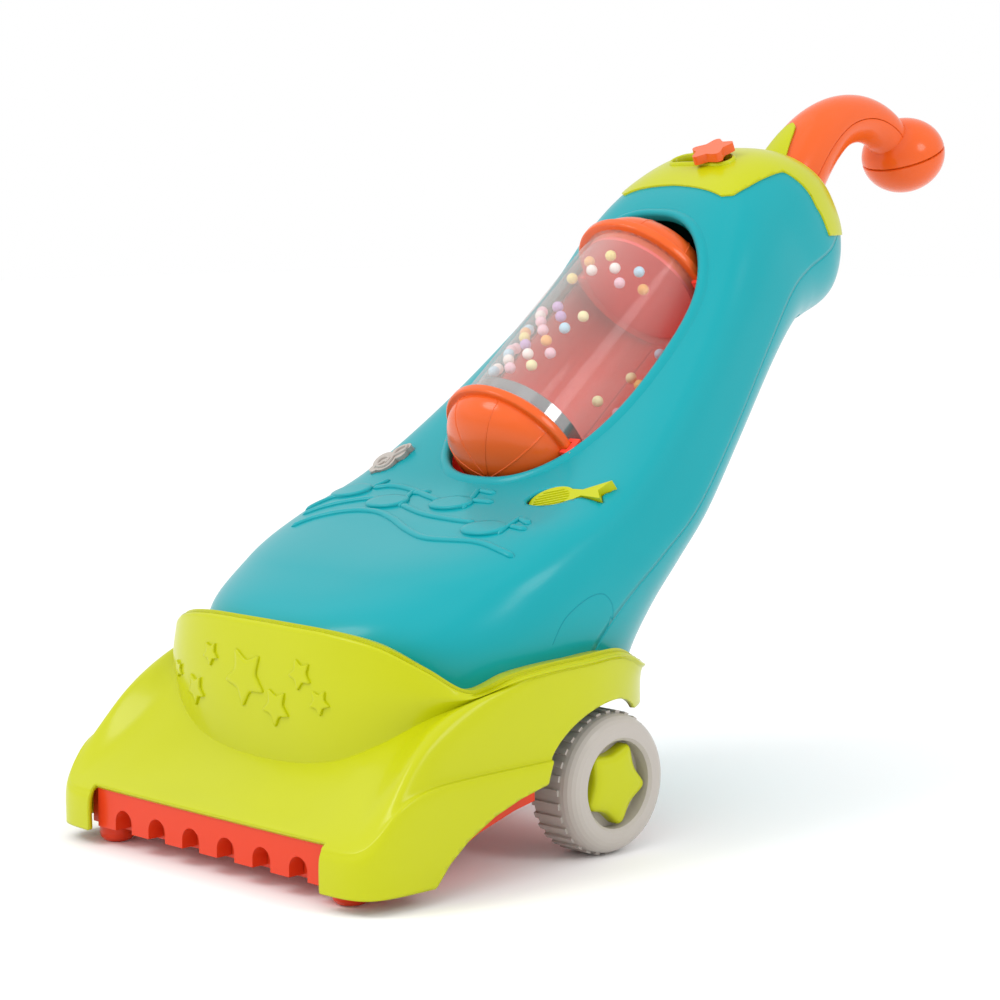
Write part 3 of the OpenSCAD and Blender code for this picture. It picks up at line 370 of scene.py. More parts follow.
SEAM_ANGLE = 90 + math.degrees(math.asin((2 * SEAM_SHARE - 1) ** (BACK_SQUARENESS / 2)))
SEAM_OPEN = 0.12
BODY_TOP = len(BODY_ROWS) - 1
BODY_MIDDLE = np.array([0.0, -30.0, 190.0])
quarter = 90 * spread(70, 2.4)
strip = np.linspace(90, SEAM_ANGLE, 5)[1:]
front_half = np.concatenate([quarter, strip])
FRONT_ANGLES = np.concatenate([-front_half[:0:-1], front_half])
BACK_ANGLES = np.concatenate([
    np.linspace(SEAM_ANGLE + SEAM_OPEN, 180, 80)[:-1], np.linspace(180, 360 - SEAM_ANGLE - SEAM_OPEN, 80)])
STATIONS = np.linspace(0, BODY_TOP, 24 * BODY_TOP + 1)


def body_sheet(angles, grow=0.0, stations=STATIONS):
    pts = body_point(stations[:, None], angles[None, :], grow)
    verts = pts.reshape(-1, 3)
    faces = grid_faces(len(stations), len(angles))
    return verts, faced_out(verts, faces, BODY_MIDDLE)


def polygon_gap(pts, poly):
    """Signed distance of plane points to a closed polygon, negative inside."""
    pts, poly = np.asarray(pts, float), np.asarray(poly, float)
    best = np.full(len(pts), 1e9)
    inside = np.zeros(len(pts), bool)
    for a, b in zip(poly, np.roll(poly, -1, 0)):
        ab, ap = b - a, pts - a
        t = np.clip((ap @ ab) / (ab @ ab), 0, 1)
        best = np.minimum(best, np.linalg.norm(ap - t[:, None] * ab, axis=1))
        cross = (a[1] > pts[:, 1]) != (b[1] > pts[:, 1])
        with np.errstate(divide="ignore", invalid="ignore"):
            x = (b[0] - a[0]) * (pts[:, 1] - a[1]) / (b[1] - a[1]) + a[0]
        inside ^= cross & (pts[:, 0] < x)
    return np.where(inside, -best, best)


# Holes are cut only this near to their own frame, and the skin beyond is whole
CUT_REACH, SLOT_REACH, WHOLE = 30, 25, 5.0
window_mid = (WINDOW_LOW + WINDOW_HIGH) / 2
window_dir = unit(WINDOW_HIGH - WINDOW_LOW)
window_half_l = np.linalg.norm(WINDOW_HIGH - WINDOW_LOW) / 2
window_out = np.array([0.0, -window_dir[1], window_dir[0]])


def window_gap(p):
    """Distance of skin points from the window's edge, negative in the window."""
    y, z = p[:, 1] - window_mid[0], p[:, 2] - window_mid[1]
    l, out = y * window_dir[0] + z * window_dir[1], -y * window_dir[1] + z * window_dir[0]
    n = WINDOW_SQUARENESS
    v = ((np.abs(p[:, 0]) / WINDOW_HALF_W) ** n + (np.abs(l) / window_half_l) ** n) ** (1 / n) - 1
    return np.where(out < -CUT_REACH, 1.0, v * WINDOW_HALF_W)


# Frame of the slot on the top: local z points out
SLOT_AT = np.array([0.0, 77.0, 340.5])
SLOT_TILT = math.radians(25)
SLOT_HALF = 20.0
SLOT_R = 5.3


def slot_local(p):
    y, z = p[:, 1] - SLOT_AT[1], p[:, 2] - SLOT_AT[2]
    c, s = math.cos(SLOT_TILT), math.sin(SLOT_TILT)
    return np.stack([p[:, 0], y * c + z * s, -y * s + z * c], 1)


def slot_world(q):
    q = np.asarray(q, float)
    c, s = math.cos(SLOT_TILT), math.sin(SLOT_TILT)
    return np.stack([q[:, 0], q[:, 1] * c - q[:, 2] * s + SLOT_AT[1],
                     q[:, 1] * s + q[:, 2] * c + SLOT_AT[2]], 1)


def slot_gap(p, grow=0.0):
    q = slot_local(p)
    reach = SLOT_HALF - SLOT_R
    d = np.hypot(q[:, 0] - np.clip(q[:, 0], -reach, reach), q[:, 1]) - SLOT_R - grow
    return np.where(np.abs(q[:, 2]) > SLOT_REACH, WHOLE, d)


# Frames of the two buttons on the front: local z points out, local y up the drum axis
tilt = math.radians(AXIS_TILT)
UP_AXIS = np.array([0.0, math.cos(tilt), math.sin(tilt)])
OUT_AXIS = np.array([0.0, -math.sin(tilt), math.cos(tilt)])
CLEF_AT, CLEF_TURN = (-74.0, -22.0), -29.0
NOTE_AT, NOTE_TURN = (66.0, -36.0), 21.0


def front_local(p, at, turn):
    r = p - AXIS_AT
    x, y, z = r[:, 0] - at[0], r @ UP_AXIS - at[1], r @ OUT_AXIS
    c, s = math.cos(math.radians(turn)), math.sin(math.radians(turn))
    return np.stack([x * c + y * s, -x * s + y * c, z], 1)


def front_world(q, at, turn):
    q = np.asarray(q, float)
    c, s = math.cos(math.radians(turn)), math.sin(math.radians(turn))
    x, y = q[:, 0] * c - q[:, 1] * s + at[0], q[:, 0] * s + q[:, 1] * c + at[1]
    return AXIS_AT + np.outer(x, [1, 0, 0]) + np.outer(y, UP_AXIS) + np.outer(q[:, 2], OUT_AXIS)


skin_verts, skin_faces = body_sheet(FRONT_ANGLES)
SKIN = ray_skin(skin_verts, skin_faces)


def drop(tree, points, way):
    """Where rays from points along way meet a skin: positions and outward normals."""
    at, normal = [], []
    for p in points:
        hit, n, _, _ = tree.ray_cast(Vector(p), Vector(way))
        if hit is None:
            hit, n, _, _ = tree.find_nearest(Vector(p))
        n = np.array(n)
        at.append(np.array(hit))
        normal.append(n if n @ np.asarray(way) < 0 else -n)
    return np.array(at), np.array(normal)


def oval(half_w, half_l):
    a = np.linspace(0, 2 * np.pi, 48, endpoint=False)
    return np.stack([half_w * np.cos(a), half_l * np.sin(a)], 1)


NOTE_HEAD_X = -7.5
NOTE_HEAD = oval(13, 8.5) + [NOTE_HEAD_X, 0]
NOTE_TAIL = [(2, -5), (10, -2), (22, -7), (19.5, -0.5), (26, 5), (10, 2.4), (2, 5)]
CLEF_LOW, CLEF_HIGH = (0, -4, 7), (1, 5, 4.8)
CLEF_STEM_X, CLEF_STEM_HALF, CLEF_STEM_R = 0.5, 11, 2.4
BUTTON_GAP = 0.4
BUTTON_TOP = 5.5


def note_gap(p):
    q = front_local(p, NOTE_AT, NOTE_TURN)
    d = np.minimum(polygon_gap(q[:, :2], NOTE_HEAD), polygon_gap(q[:, :2], NOTE_TAIL)) - BUTTON_GAP
    return np.where(np.abs(q[:, 2]) > CUT_REACH, WHOLE, d)


def clef_gap(p):
    q = front_local(p, CLEF_AT, CLEF_TURN)
    low, high = (np.hypot(q[:, 0] - x, q[:, 1] - y) - r for x, y, r in (CLEF_LOW, CLEF_HIGH))
    past_end = q[:, 1] - np.clip(q[:, 1], -CLEF_STEM_HALF, CLEF_STEM_HALF)
    stem = np.hypot(q[:, 0] - CLEF_STEM_X, past_end) - CLEF_STEM_R
    d = np.minimum(np.minimum(low, high), stem) - BUTTON_GAP
    return np.where(np.abs(q[:, 2]) > CUT_REACH, WHOLE, d)


gap = np.minimum(window_gap(skin_verts), slot_gap(skin_verts, 0.6))
gap = np.minimum(gap, np.minimum(note_gap(skin_verts), clef_gap(skin_verts)))
verts, faces = clip(skin_verts, skin_faces, gap)
make("body_front", verts, faces, TEAL, replaces=["body_front_shell"], thick=WALL)


# Frames on the back: local z points out of the back, local y down the slope
def back_local(p, s):
    at, low, high = (along(BODY_ROWS, s + k)[2:4] for k in (0, -0.3, 0.3))
    way = unit(high - low)
    y, z = p[:, 1] - at[0], p[:, 2] - at[1]
    return np.stack([p[:, 0], -y * way[0] - z * way[1], y * way[1] - z * way[0]], 1)


def box_gap(q, half_w, half_l, y=0.0):
    return np.maximum(np.abs(q[:, 0]) - half_w, np.abs(q[:, 1] - y) - half_l)


DOOR_STATION, DOOR_HALF_W, DOOR_HALF_L = 4.6, 27.4, 33.4
DOOR_TAB_Y, DOOR_TAB_R = 33.5, 4.5
SPEAKER_STATION, SPEAKER_R = 2.4, 16
SOUND_SLOT_PITCH, SOUND_SLOT_HALF = 6, 1.2
POSTS = ((1.6, 72), (7.4, 44))
POST_R = 3.2
rear_verts, rear_faces = body_sheet(BACK_ANGLES)
q = back_local(rear_verts, DOOR_STATION)
gap = np.minimum(box_gap(q, DOOR_HALF_W, DOOR_HALF_L), np.hypot(q[:, 0], q[:, 1] - DOOR_TAB_Y) - DOOR_TAB_R)
q = back_local(rear_verts, SPEAKER_STATION)
for k in range(-2, 3):
    y = SOUND_SLOT_PITCH * k
    gap = np.minimum(gap, box_gap(q, math.sqrt(SPEAKER_R ** 2 - y * y), SOUND_SLOT_HALF, y))
for station, x in POSTS:
    r = along(BODY_ROWS, station)
    way, at = unit(r[2:4] - r[0:2]), r[0:2] + (r[2:4] - r[0:2]) * SEAM_SHARE
    off = (rear_verts[:, 1] - at[0]) * way[1] - (rear_verts[:, 2] - at[1]) * way[0]
    gap = np.minimum(gap, np.hypot(np.abs(rear_verts[:, 0]) - x, off) - POST_R)
verts, faces = clip(rear_verts, rear_faces, gap)
make("body_rear", verts, faces, TEAL, replaces=["body_rear_shell"], thick=WALL)

# Rounded lip round the window
around = np.linspace(0, 2 * np.pi, 260, endpoint=False)
flat_x = WINDOW_HALF_W * bend(np.cos(around), 2 / WINDOW_SQUARENESS)
flat_l = window_half_l * bend(np.sin(around), 2 / WINDOW_SQUARENESS)
above = np.stack([flat_x, window_mid[0] + window_dir[0] * flat_l, window_mid[1] + window_dir[1] * flat_l], 1)
edge, edge_n = drop(SKIN, above + window_out * 80, -window_out)
for _ in range(6):
    edge_n = unit(np.roll(edge_n, 1, 0) + edge_n + np.roll(edge_n, -1, 0))
LIP = [(-0.4, -3.5), (-0.4, 0.2), (0.2, 1.3), (1.4, 2.0), (2.6, 1.9), (3.8, 1.3), (4.8, 0.5), (5.8, -0.4)]
verts, faces = sweep(edge, edge_n, LIP, True)
make("window_lip", verts, faces, TEAL, sharp=60)


# Raised work
def ridge(name, points, tree, way, width, height, mat, body=ROOT, flat=False):
    """A rounded line that lies on a skin, with ends that run out."""
    points = np.asarray(points, float)
    length = np.linalg.norm(np.diff(points, axis=0), axis=1).sum()
    path = along(points, np.linspace(0, len(points) - 1, max(12, int(length / 1.2))))
    if flat:
        normal = np.broadcast_to(-np.asarray(way, float), path.shape)
    else:
        path, normal = drop(tree, path - unit(np.asarray(way, float)) * 25, way)
    gone = np.concatenate([[0], np.cumsum(np.linalg.norm(np.diff(path, axis=0), axis=1))])
    close = np.minimum(gone, gone[-1] - gone) / (width * 0.6)
    taper = np.sqrt(np.clip(close, 0.03, 1))
    a = np.radians(np.linspace(0, 180, 13))
    side = unit(np.cross(unit(np.gradient(path, axis=0)), normal))
    across, up = -np.cos(a) * width / 2, np.sin(a) ** 0.7 * height
    pts = (path[:, None] + side[:, None] * (across[None, :] * taper[:, None])[..., None]
           + normal[:, None] * (up[None, :] * taper[:, None] - 0.15)[..., None])
    verts = pts.reshape(-1, 3)
    faces = faced_up(verts, grid_faces(len(path), 13), normal[0])
    make(name, verts, faces, mat, body, sharp=70)


def faced_up(verts, faces, normal):
    """Turns all faces when most of them look against the normal."""
    score = 0.0
    for f in faces[::7]:
        score += np.dot(face_normal(verts, f), normal)
    return faces if score > 0 else turned(faces)


def pad(name, outline, centre, u, v, tree, way, height, mat, body=ROOT):
    """A raised flat shape with rounded edges that follows a skin."""
    rings = [(1.0, -0.2), (0.99, 0.45), (0.965, 0.8), (0.92, 1.0), (0.7, 1.0), (0.4, 1.0), (0.0, 1.0)]
    flat = np.vstack([np.asarray(outline) * k for k, _ in rings])
    rise = np.repeat([h for _, h in rings], len(outline)) * height
    world = np.asarray(centre, float) + np.outer(flat[:, 0], u) + np.outer(flat[:, 1], v)
    at, normal = drop(tree, world - unit(np.asarray(way, float)) * 30, way)
    verts = at + normal * rise[:, None]
    faces = faced_up(verts, grid_faces(len(rings), len(outline), wrap=True), -np.asarray(way, float))
    make(name, verts, faces, mat, body, sharp=60)


def star(r, turn, inner=0.5, rounds=3):
    """Outline of a five-pointed star with slightly rounded tips."""
    a = np.radians(turn + np.arange(10) * 36)
    q = np.where(np.arange(10) % 2 == 0, r, r * inner)
    p = np.stack([q * np.cos(a), q * np.sin(a)], 1)
    p = np.concatenate([p[i] + (p[(i + 1) % 10] - p[i]) * np.linspace(0, 1, 9)[:-1, None] for i in range(10)])
    for _ in range(rounds):
        p = (np.roll(p, 1, 0) + 2 * p + np.roll(p, -1, 0)) / 4
    return p


# Staves and notes on the front of the body
DOWN = np.array([0.0, 0.34, -0.94])
ACROSS, UPHILL = np.array([1.0, 0.0, 0.0]), np.array([0.0, 0.94, 0.34])
STAVES = [
    [(-82, -148, 155), (-67, -137, 162), (-50, -128, 165), (-42, -129, 165)],
    [(-23, -131, 164), (0, -138, 162), (22, -140, 161), (40, -140, 161)],
    [(-74, -163, 151), (-66, -153, 156), (-49, -144, 160), (-31, -142, 161), (-13, -147, 159), (8, -156, 156),
     (28, -161, 154), (57, -157, 155), (76, -158, 152), (85, -158, 150)],
    [(-61, -117, 169), (-51, -113, 171), (-36, -114, 171), (-17, -119, 169), (-4, -122, 167)],
    [(-88, -141, 157), (-80, -129, 163), (-70, -124, 165)]]
RELIEF = 1.5
STAVE_W, STEM_W, FLAG_W = 4.2, 3.2, 4.4
for k, line in enumerate(STAVES):
    ridge(f"stave_{k}", line, SKIN, DOWN, STAVE_W, RELIEF, TEAL)
NOTES = [
    ((-73, -121, 166), [[(-62, -116, 169), (-58, -107, 173)]]),
    ((-35, -130, 164), [[(-22, -134, 163), (-30, -118, 169), (-27, -116, 170)],
                        [(-30, -118, 169), (-19, -114, 171)]]),
    ((6, -124, 167), [[(18, -127, 165), (9, -107, 174)], [(10, -108, 174), (23, -109, 173)],
                      [(14, -118, 169), (30, -117, 169)]]),
    ((51, -145, 160), [[(63, -147, 158), (60, -128, 165)], [(60, -129, 165), (71, -133, 163)],
                       [(62, -138, 161), (74, -138, 161)]])]
HEAD_LEAN = 0.25
for k, (centre, stems) in enumerate(NOTES):
    pad(f"note_head_{k}", oval(13, 8.2), centre, unit(ACROSS + HEAD_LEAN * UPHILL),
        unit(UPHILL - HEAD_LEAN * ACROSS), SKIN, DOWN, RELIEF, TEAL)
    for j, stem in enumerate(stems):
        ridge(f"note_stem_{k}_{j}", stem, SKIN, DOWN, FLAG_W if j else STEM_W, RELIEF, TEAL)

# Fine lines round the oval patches on the sides: low ridges in darker teal, painted shade of the grooves there
GROOVE_SHADE = plastic("panel_groove_shade", srgb("008A96"), rough=0.5, coat=0.0)
PATCH = [(103, -150, 108), (103, -142, 120), (104, -128, 128), (104, -116, 130), (103.5, -109, 125),
         (103, -107, 117), (102, -109, 107), (101, -112, 100)]
for side in (1, -1):
    line = [(side * x, y, z) for x, y, z in PATCH]
    ridge(f"patch_groove_shade_{side}", line, SKIN, (-side, 0, 0), 0.8, 0.25, GROOVE_SHADE)

# Ribs of the note button and the drawn line of the clef button
RIBS_HALF_W, RIBS_HALF_L, LAST_RIB = 10.6, 7.2, 5.6
for k, y in enumerate(np.linspace(-LAST_RIB, LAST_RIB, 7)):
    half = RIBS_HALF_W * math.sqrt(1 - (y / RIBS_HALF_L) ** 2)
    bar = front_world([[NOTE_HEAD_X - half, y, BUTTON_TOP], [NOTE_HEAD_X + half, y, BUTTON_TOP]], NOTE_AT, NOTE_TURN)
    ridge(f"note_rib_{k}", bar, None, -OUT_AXIS, 1.1, 0.8, LIME, "note_button", flat=True)
CLEF_LINE = [(0.4, -4), (2.6, -2.6), (0.4, -0.8), (-2.8, -2.6), (-2.6, -6.6), (1.2, -8.6), (4.8, -5),
             (3.4, -0.4), (0.2, 3), (-1.4, 6.6), (0.6, 10.8), (3.0, 8.6), (2.2, 4.5), (0.9, -3), (0, -11)]
path = front_world([[x, y, BUTTON_TOP] for x, y in CLEF_LINE], CLEF_AT, CLEF_TURN)
ridge("clef_line", path, None, -OUT_AXIS, 1.7, 1.3, PEARL, "clef_button", flat=True)


# Head
def plan_curve(plan, grow, count=2400):
    """Half of a plan outline from the front middle round to the rear middle, with its angle in degrees."""
    a = np.concatenate([90 * spread(count, 8), 90 + 90 * spread(count, 2)[1:]])
    mid, half = (plan[0] + plan[1]) / 2, (plan[1] - plan[0]) / 2 + grow
    c, s = np.cos(np.radians(a)), np.sin(np.radians(a))
    e = np.where(a < 90, 2 / plan[3], 2 / REAR_SQUARENESS)
    xy = np.stack([(plan[2] + grow) * np.abs(s) ** e, mid - half * bend(c, e)], 1)
    step = np.concatenate([[0], np.cumsum(np.linalg.norm(np.diff(xy, axis=0), axis=1))])
    return xy, a, step / step[-1]


def on_plan(plan, grow, share):
    xy, a, reach = plan_curve(plan, grow)
    return (np.stack([np.interp(share, reach, xy[:, k]) for k in (0, 1)], 1), np.interp(share, reach, a))


def level(heights, angle):
    return along(heights, angle / 15)


def head_sheet(count=300):
    """Skin of the head from the foot of its walls over hood and visor to the ledge, both sides."""
    share = np.linspace(0, 1, count)
    low, low_a = on_plan(SKIRT_PLAN, 0, share)
    shoulder, _ = on_plan(SKIRT_PLAN, -1.2, share)
    edge_xy, _ = on_plan(SKIRT_PLAN, -4, share)
    high, high_a = on_plan(VISOR_PLAN, 0, share)
    belly, _ = on_plan(VISOR_PLAN, 1.5, share)
    inner, _ = on_plan(VISOR_PLAN, -3, share)
    deep, _ = on_plan(VISOR_PLAN, -22, share)
    full = np.clip((low_a - 90) / 40, 0, 1)[:, None]
    shoulder, edge_xy = shoulder + (low - shoulder) * full, edge_xy + (low - edge_xy) * full
    nose, swell = level(NOSE_HEIGHTS, low_a), level(SWELL_HEIGHTS, (low_a + high_a) / 2)
    crease, rim = level(CREASE_HEIGHTS, high_a), level(RIM_HEIGHTS, high_a)

    def row(xy, z):
        return np.column_stack([xy, np.broadcast_to(z, share.shape)])

    def between(f):
        return row(edge_xy + (high - edge_xy) * f, nose + (crease - nose) * f + swell * (1 if f < 0.5 else 0.9))

    walls = [row(low, 8), row(low, 8 + (nose - 8) * 0.6), row(shoulder, nose - 4), row(edge_xy, nose)]
    hood = [walls[-1], between(0.35), between(0.7), row(high, crease)]
    visor = [hood[-1], row(belly, crease + (rim - crease) * 0.45), row(high, rim - 1)]
    ledge = [visor[-1], row(high + (inner - high) * 0.35, rim), row(inner, rim), row(deep, rim - 1)]
    rows = []
    for part, steps in ((walls + hood[1:], 10), (visor, 14), (ledge, 4)):
        part = np.array(part)
        s = np.linspace(0, len(part) - 1, steps * (len(part) - 1) + 1)
        rows.extend(along(part.reshape(len(part), -1), s).reshape(len(s), count, 3)[0 if not rows else 1:])
    right = np.array(rows)
    left = right[:, ::-1] * np.array([-1, 1, 1])
    pts = np.concatenate([left[:, :-1], right], 1)
    return pts.reshape(-1, 3), grid_faces(pts.shape[0], pts.shape[1])


head_verts, head_faces = head_sheet()
head_faces = faced_out(head_verts, head_faces, np.array([0.0, -165.0, 40.0]))
HEAD = ray_skin(head_verts, head_faces)
x, y, z = np.abs(head_verts[:, 0]), head_verts[:, 1], head_verts[:, 2]
curve = np.array(SKIRT_CURVE, float)
skirt_z = np.where(y < curve[0, 0], SKIRT_LOW_Z, np.interp(y, curve[:, 0], curve[:, 1]))
skirt_z = np.where(y > curve[-1, 0], FENDER_Z, skirt_z)
mouth_gap = np.maximum(np.maximum(x - MOUTH_HALF_W, z - MOUTH_TOP), y - MOUTH_BACK_Y)
ahead = np.where(y < AXLE[0], (y - AXLE[0]) / ARCH_STRETCH, y - AXLE[0])
arch_gap = np.hypot(ahead, z - AXLE[1]) - ARCH_R
verts, faces = clip(head_verts, head_faces, np.minimum(np.minimum(z - skirt_z, mouth_gap), arch_gap))
make("head", verts, faces, LIME, replaces=["head_shell"], thick=WALL, sharp=50)

VISOR_STARS = [(-11, 91, 16, 48), (-39, 99, 6.8, 55), (-73, 86, 5, 40), (-53, 79, 9, 52), (29, 97, 8.4, 45),
               (12, 79, 10.5, 50), (42, 85, 7, 60)]
for k, (x, z, r, turn) in enumerate(VISOR_STARS):
    pad(f"visor_star_{k}", star(r, turn), (x, VISOR_PLAN[0], z), (1, 0, 0), (0, 0, 1), HEAD, (0, 1, 0), 1.2,
        LIME)


# Top cap
CAP_HALF = [(0, 52.5), (20, 51.5), (36, 51), (41, 55), (43, 66), (44, 80), (44.5, 94), (49, 100), (55, 110),
            (60, 176)]
CAP_OUTLINE = [(-px, py) for px, py in CAP_HALF[:0:-1]] + CAP_HALF
CAP_LOW_Z = 300.0
CAP_PROUD = 1.2
all_round = np.concatenate([FRONT_ANGLES, BACK_ANGLES[1:]])
cap_verts, cap_faces = body_sheet(all_round, CAP_PROUD, np.linspace(7, BODY_TOP, 260))
cap_gap = np.minimum(-polygon_gap(cap_verts[:, :2], CAP_OUTLINE), cap_verts[:, 2] - CAP_LOW_Z)
cap_gap = np.minimum(cap_gap, slot_gap(cap_verts, 0.5))
verts, faces = clip(cap_verts, cap_faces, cap_gap)
make("top_cap_skin", verts, faces, LIME, replaces=["top_cap"], thick=2.4)
CAP = ray_skin(cap_verts, cap_faces)

reach = SLOT_HALF - SLOT_R
turn = np.linspace(-math.pi / 2, math.pi / 2, 24)
right_end = np.stack([reach + SLOT_R * np.cos(turn), SLOT_R * np.sin(turn)], 1)
straight = np.stack([np.linspace(reach, -reach, 14)[1:-1], np.full(12, SLOT_R)], 1)
loop = np.concatenate([right_end, straight, -right_end, -straight])
slot_path, slot_n = drop(CAP, slot_world(np.column_stack([loop, np.full(len(loop), 40)])),
                         slot_world([[0, 0, -1]])[0] - SLOT_AT)
SLOT_LIP = [(0.15, -3), (0.15, 0.8), (0.6, 1.4), (1.2, 1.5), (1.9, 1.1), (2.4, 0.3), (2.7, -0.5)]
verts, faces = sweep(slot_path, slot_n, SLOT_LIP, True)
make("slot_lip", verts, faces, LIME, sharp=60)


# Handle
HANDLE_LAST = len(HANDLE_ROWS) - 1


def handle_sheet(angles, grow, groove, rows=150):
    s = np.linspace(0, HANDLE_LAST, rows)
    r = along(HANDLE_ROWS, s)
    ahead = along(HANDLE_ROWS, np.minimum(s + 0.05, HANDLE_LAST))
    behind = along(HANDLE_ROWS, np.maximum(s - 0.05, 0))
    d = unit((ahead - behind)[:, :2])
    a = np.radians(angles)[None, :]
    q = r[:, 2:3] + grow - groove[None, :]
    side, up = q * np.sin(a), q * np.cos(a)
    pts = np.stack([side, r[:, 0:1] - d[:, 1:2] * up, r[:, 1:2] + d[:, 0:1] * up], -1)
    verts = pts.reshape(-1, 3)
    return verts, grid_faces(rows, len(angles))


half_turn = np.concatenate([[-90, -89.6, -88.5], np.linspace(-86, 86, 60), [88.5, 89.6, 90]])
groove = np.concatenate([[0.9, 0.45, 0.1], np.zeros(60), [0.1, 0.45, 0.9]])
for name, start, node in (("handle_top", 0, "handle_upper"), ("handle_under", 180, "handle_lower")):
    verts, faces = handle_sheet(half_turn + start, 0.0, groove)
    out = verts[faces[0][0]] - np.array([0, *HANDLE_ROWS[0][:2]])
    if face_normal(verts, faces[0]) @ out < 0:
        faces = turned(faces)
    make(name, verts, faces, ORANGE, replaces=[node], thick=WALL)

# Tongue of the cap on the front of the handle
verts, faces = handle_sheet(np.linspace(-90, 90, 120), 1.9, np.zeros(120), 300)
TONGUE_Y, TONGUE_HALF_W = [112, 128, 151, 154, 155.5], [15, 13, 4.6, 3, 0.5]
TONGUE_LOW_Z = 335
width = np.interp(verts[:, 1], TONGUE_Y, TONGUE_HALF_W)
tongue_gap = np.minimum(width - np.abs(verts[:, 0]), verts[:, 2] - TONGUE_LOW_Z)
tongue_gap = np.minimum(tongue_gap, TONGUE_Y[-1] - verts[:, 1])
verts, faces = clip(verts, faces, tongue_gap)
if face_normal(verts, faces[0])[2] < 0:
    faces = turned(faces)
make("cap_tongue", verts, faces, LIME, thick=2.0)
TONGUE = ray_skin(verts, faces)
pad("tongue_star", star(6.5, 70), (0, 128, 345), (1, 0, 0), (0, 0.6, 0.8), TONGUE, (0, 0.8, -0.6), 0.9,
    LIME)


# Knob
def knob_half(low, high):
    """Profile of half a knob, drawn in where the halves meet."""
    a = np.radians(np.linspace(low, high, 40))
    pull = np.where(np.abs(np.degrees(a)) < 1.2, 0.8, 0.0)
    return np.stack([(KNOB_R - pull) * np.cos(a), (KNOB_HALF_H - pull) * np.sin(a)], 1)


def knob_world(p):
    t = math.radians(KNOB_TILT)
    return np.stack([p[:, 0], p[:, 1] * math.cos(t) - p[:, 2] * math.sin(t),
                     p[:, 1] * math.sin(t) + p[:, 2] * math.cos(t)], 1) + KNOB_AT


for name, low, high, node in (("knob_crown", 0, 90, "knob_upper"), ("knob_bowl", -90, 0, "knob_lower")):
    verts, faces = lathe(knob_half(low, high))
    faces = faced_out(verts, faces, np.zeros(3))
    make(name, knob_world(verts), faces, ORANGE, replaces=[node], thick=WALL, weld=0.01)


# Drum
def drum_world(p):
    p = np.asarray(p, float)
    return AXIS_AT + np.outer(p[:, 0], [1, 0, 0]) - np.outer(p[:, 1], OUT_AXIS) + np.outer(p[:, 2], UP_AXIS)


DOME_PROUD = 0.4
RIM_R = 1.2
SPIGOT_H = 6


def dome_arc(a):
    """Radius and height of the dome's skin at the angles a."""
    half = FLANGE_T / 2
    return (TUBE_R + DOME_PROUD) * np.cos(a), -half + (DOME_H - half) * np.sin(a)


def dome_profile():
    """Closed profile of a drum cap: dome, rim of the flange, spigot and hollow."""
    dome = np.stack(dome_arc(np.radians(np.linspace(-90, 0, 30))), 1)
    dome[0, 0] = 0
    half = FLANGE_T / 2
    b = np.radians(np.linspace(-90, 90, 12))
    rim = np.stack([FLANGE_R - RIM_R + RIM_R * np.cos(b), (half - RIM_R) * np.sign(b) + RIM_R * np.sin(b)], 1)
    outer, inner = TUBE_R - TUBE_WALL - 0.1, TUBE_R - TUBE_WALL - WALL
    return np.vstack([dome, rim, [[outer, half], [outer, SPIGOT_H], [inner, SPIGOT_H], [inner, -half],
                                  [20, -DOME_H * 0.72], [0, WALL - DOME_H]]])


def turn_out(obj):
    """Turns the faces of a closed mesh outwards."""
    bm = bmesh.new()
    bm.from_mesh(obj.data)
    bmesh.ops.recalc_face_normals(bm, faces=bm.faces)
    bm.to_mesh(obj.data)
    bm.free()


DOME_RIB = [(-0.7, -0.3), (-0.3, 0.25), (0.3, 0.25), (0.7, -0.3)]
for name, flip, node in (("drum_bowl", 1, "drum_bottom_cap"), ("drum_crown", -1, "drum_top_cap")):
    verts, faces = lathe(dome_profile())
    for k in range(8):
        w = math.radians(k * 45 + 20)
        a = np.radians(np.linspace(-86, -3, 40))
        r, h = dome_arc(a)
        path = np.stack([r * math.cos(w), r * math.sin(w), h], 1)
        normal = np.stack([np.cos(a) * math.cos(w), np.cos(a) * math.sin(w), np.sin(a) * 1.5], 1)
        rv, rf = sweep(path, normal, DOME_RIB, False)
        faces = faces + [[i + len(verts) for i in f] for f in rf]
        verts = np.vstack([verts, rv])
    verts = verts * np.array([1, 1, flip]) + np.array([0, 0, 0 if flip > 0 else DRUM_LEN])
    verts = drum_world(verts)
    turn_out(make(name, verts, faces, ORANGE, "drum", [node], sharp=40, weld=0.005))

# Puffed stars in the dishes of the wheels
puff = [(1.0, 0.0), (1.0, 0.5), (0.985, 0.68), (0.95, 0.82), (0.88, 0.92), (0.7, 0.98), (0.4, 1.0), (0.0, 1.0)]
HUB_FACE, HUB_RISE = 107, 7.5
outline = star(23.5, -80, 0.62, 9)
for side, name in ((1, "right"), (-1, "left")):
    flat = np.vstack([outline * k for k, _ in puff])
    rise = np.repeat([h for _, h in puff], len(outline)) * HUB_RISE
    verts = np.column_stack([side * (HUB_FACE + rise), AXLE[0] + flat[:, 0], AXLE[1] + flat[:, 1]])
    faces = faced_up(verts, grid_faces(len(puff), len(outline), wrap=True), np.array([side, 0.0, 0.0]))
    make(f"hub_star_{name}_puff", verts, faces, LIME, f"wheel_{name}", [f"hub_star_{name}"],
         sharp=50)
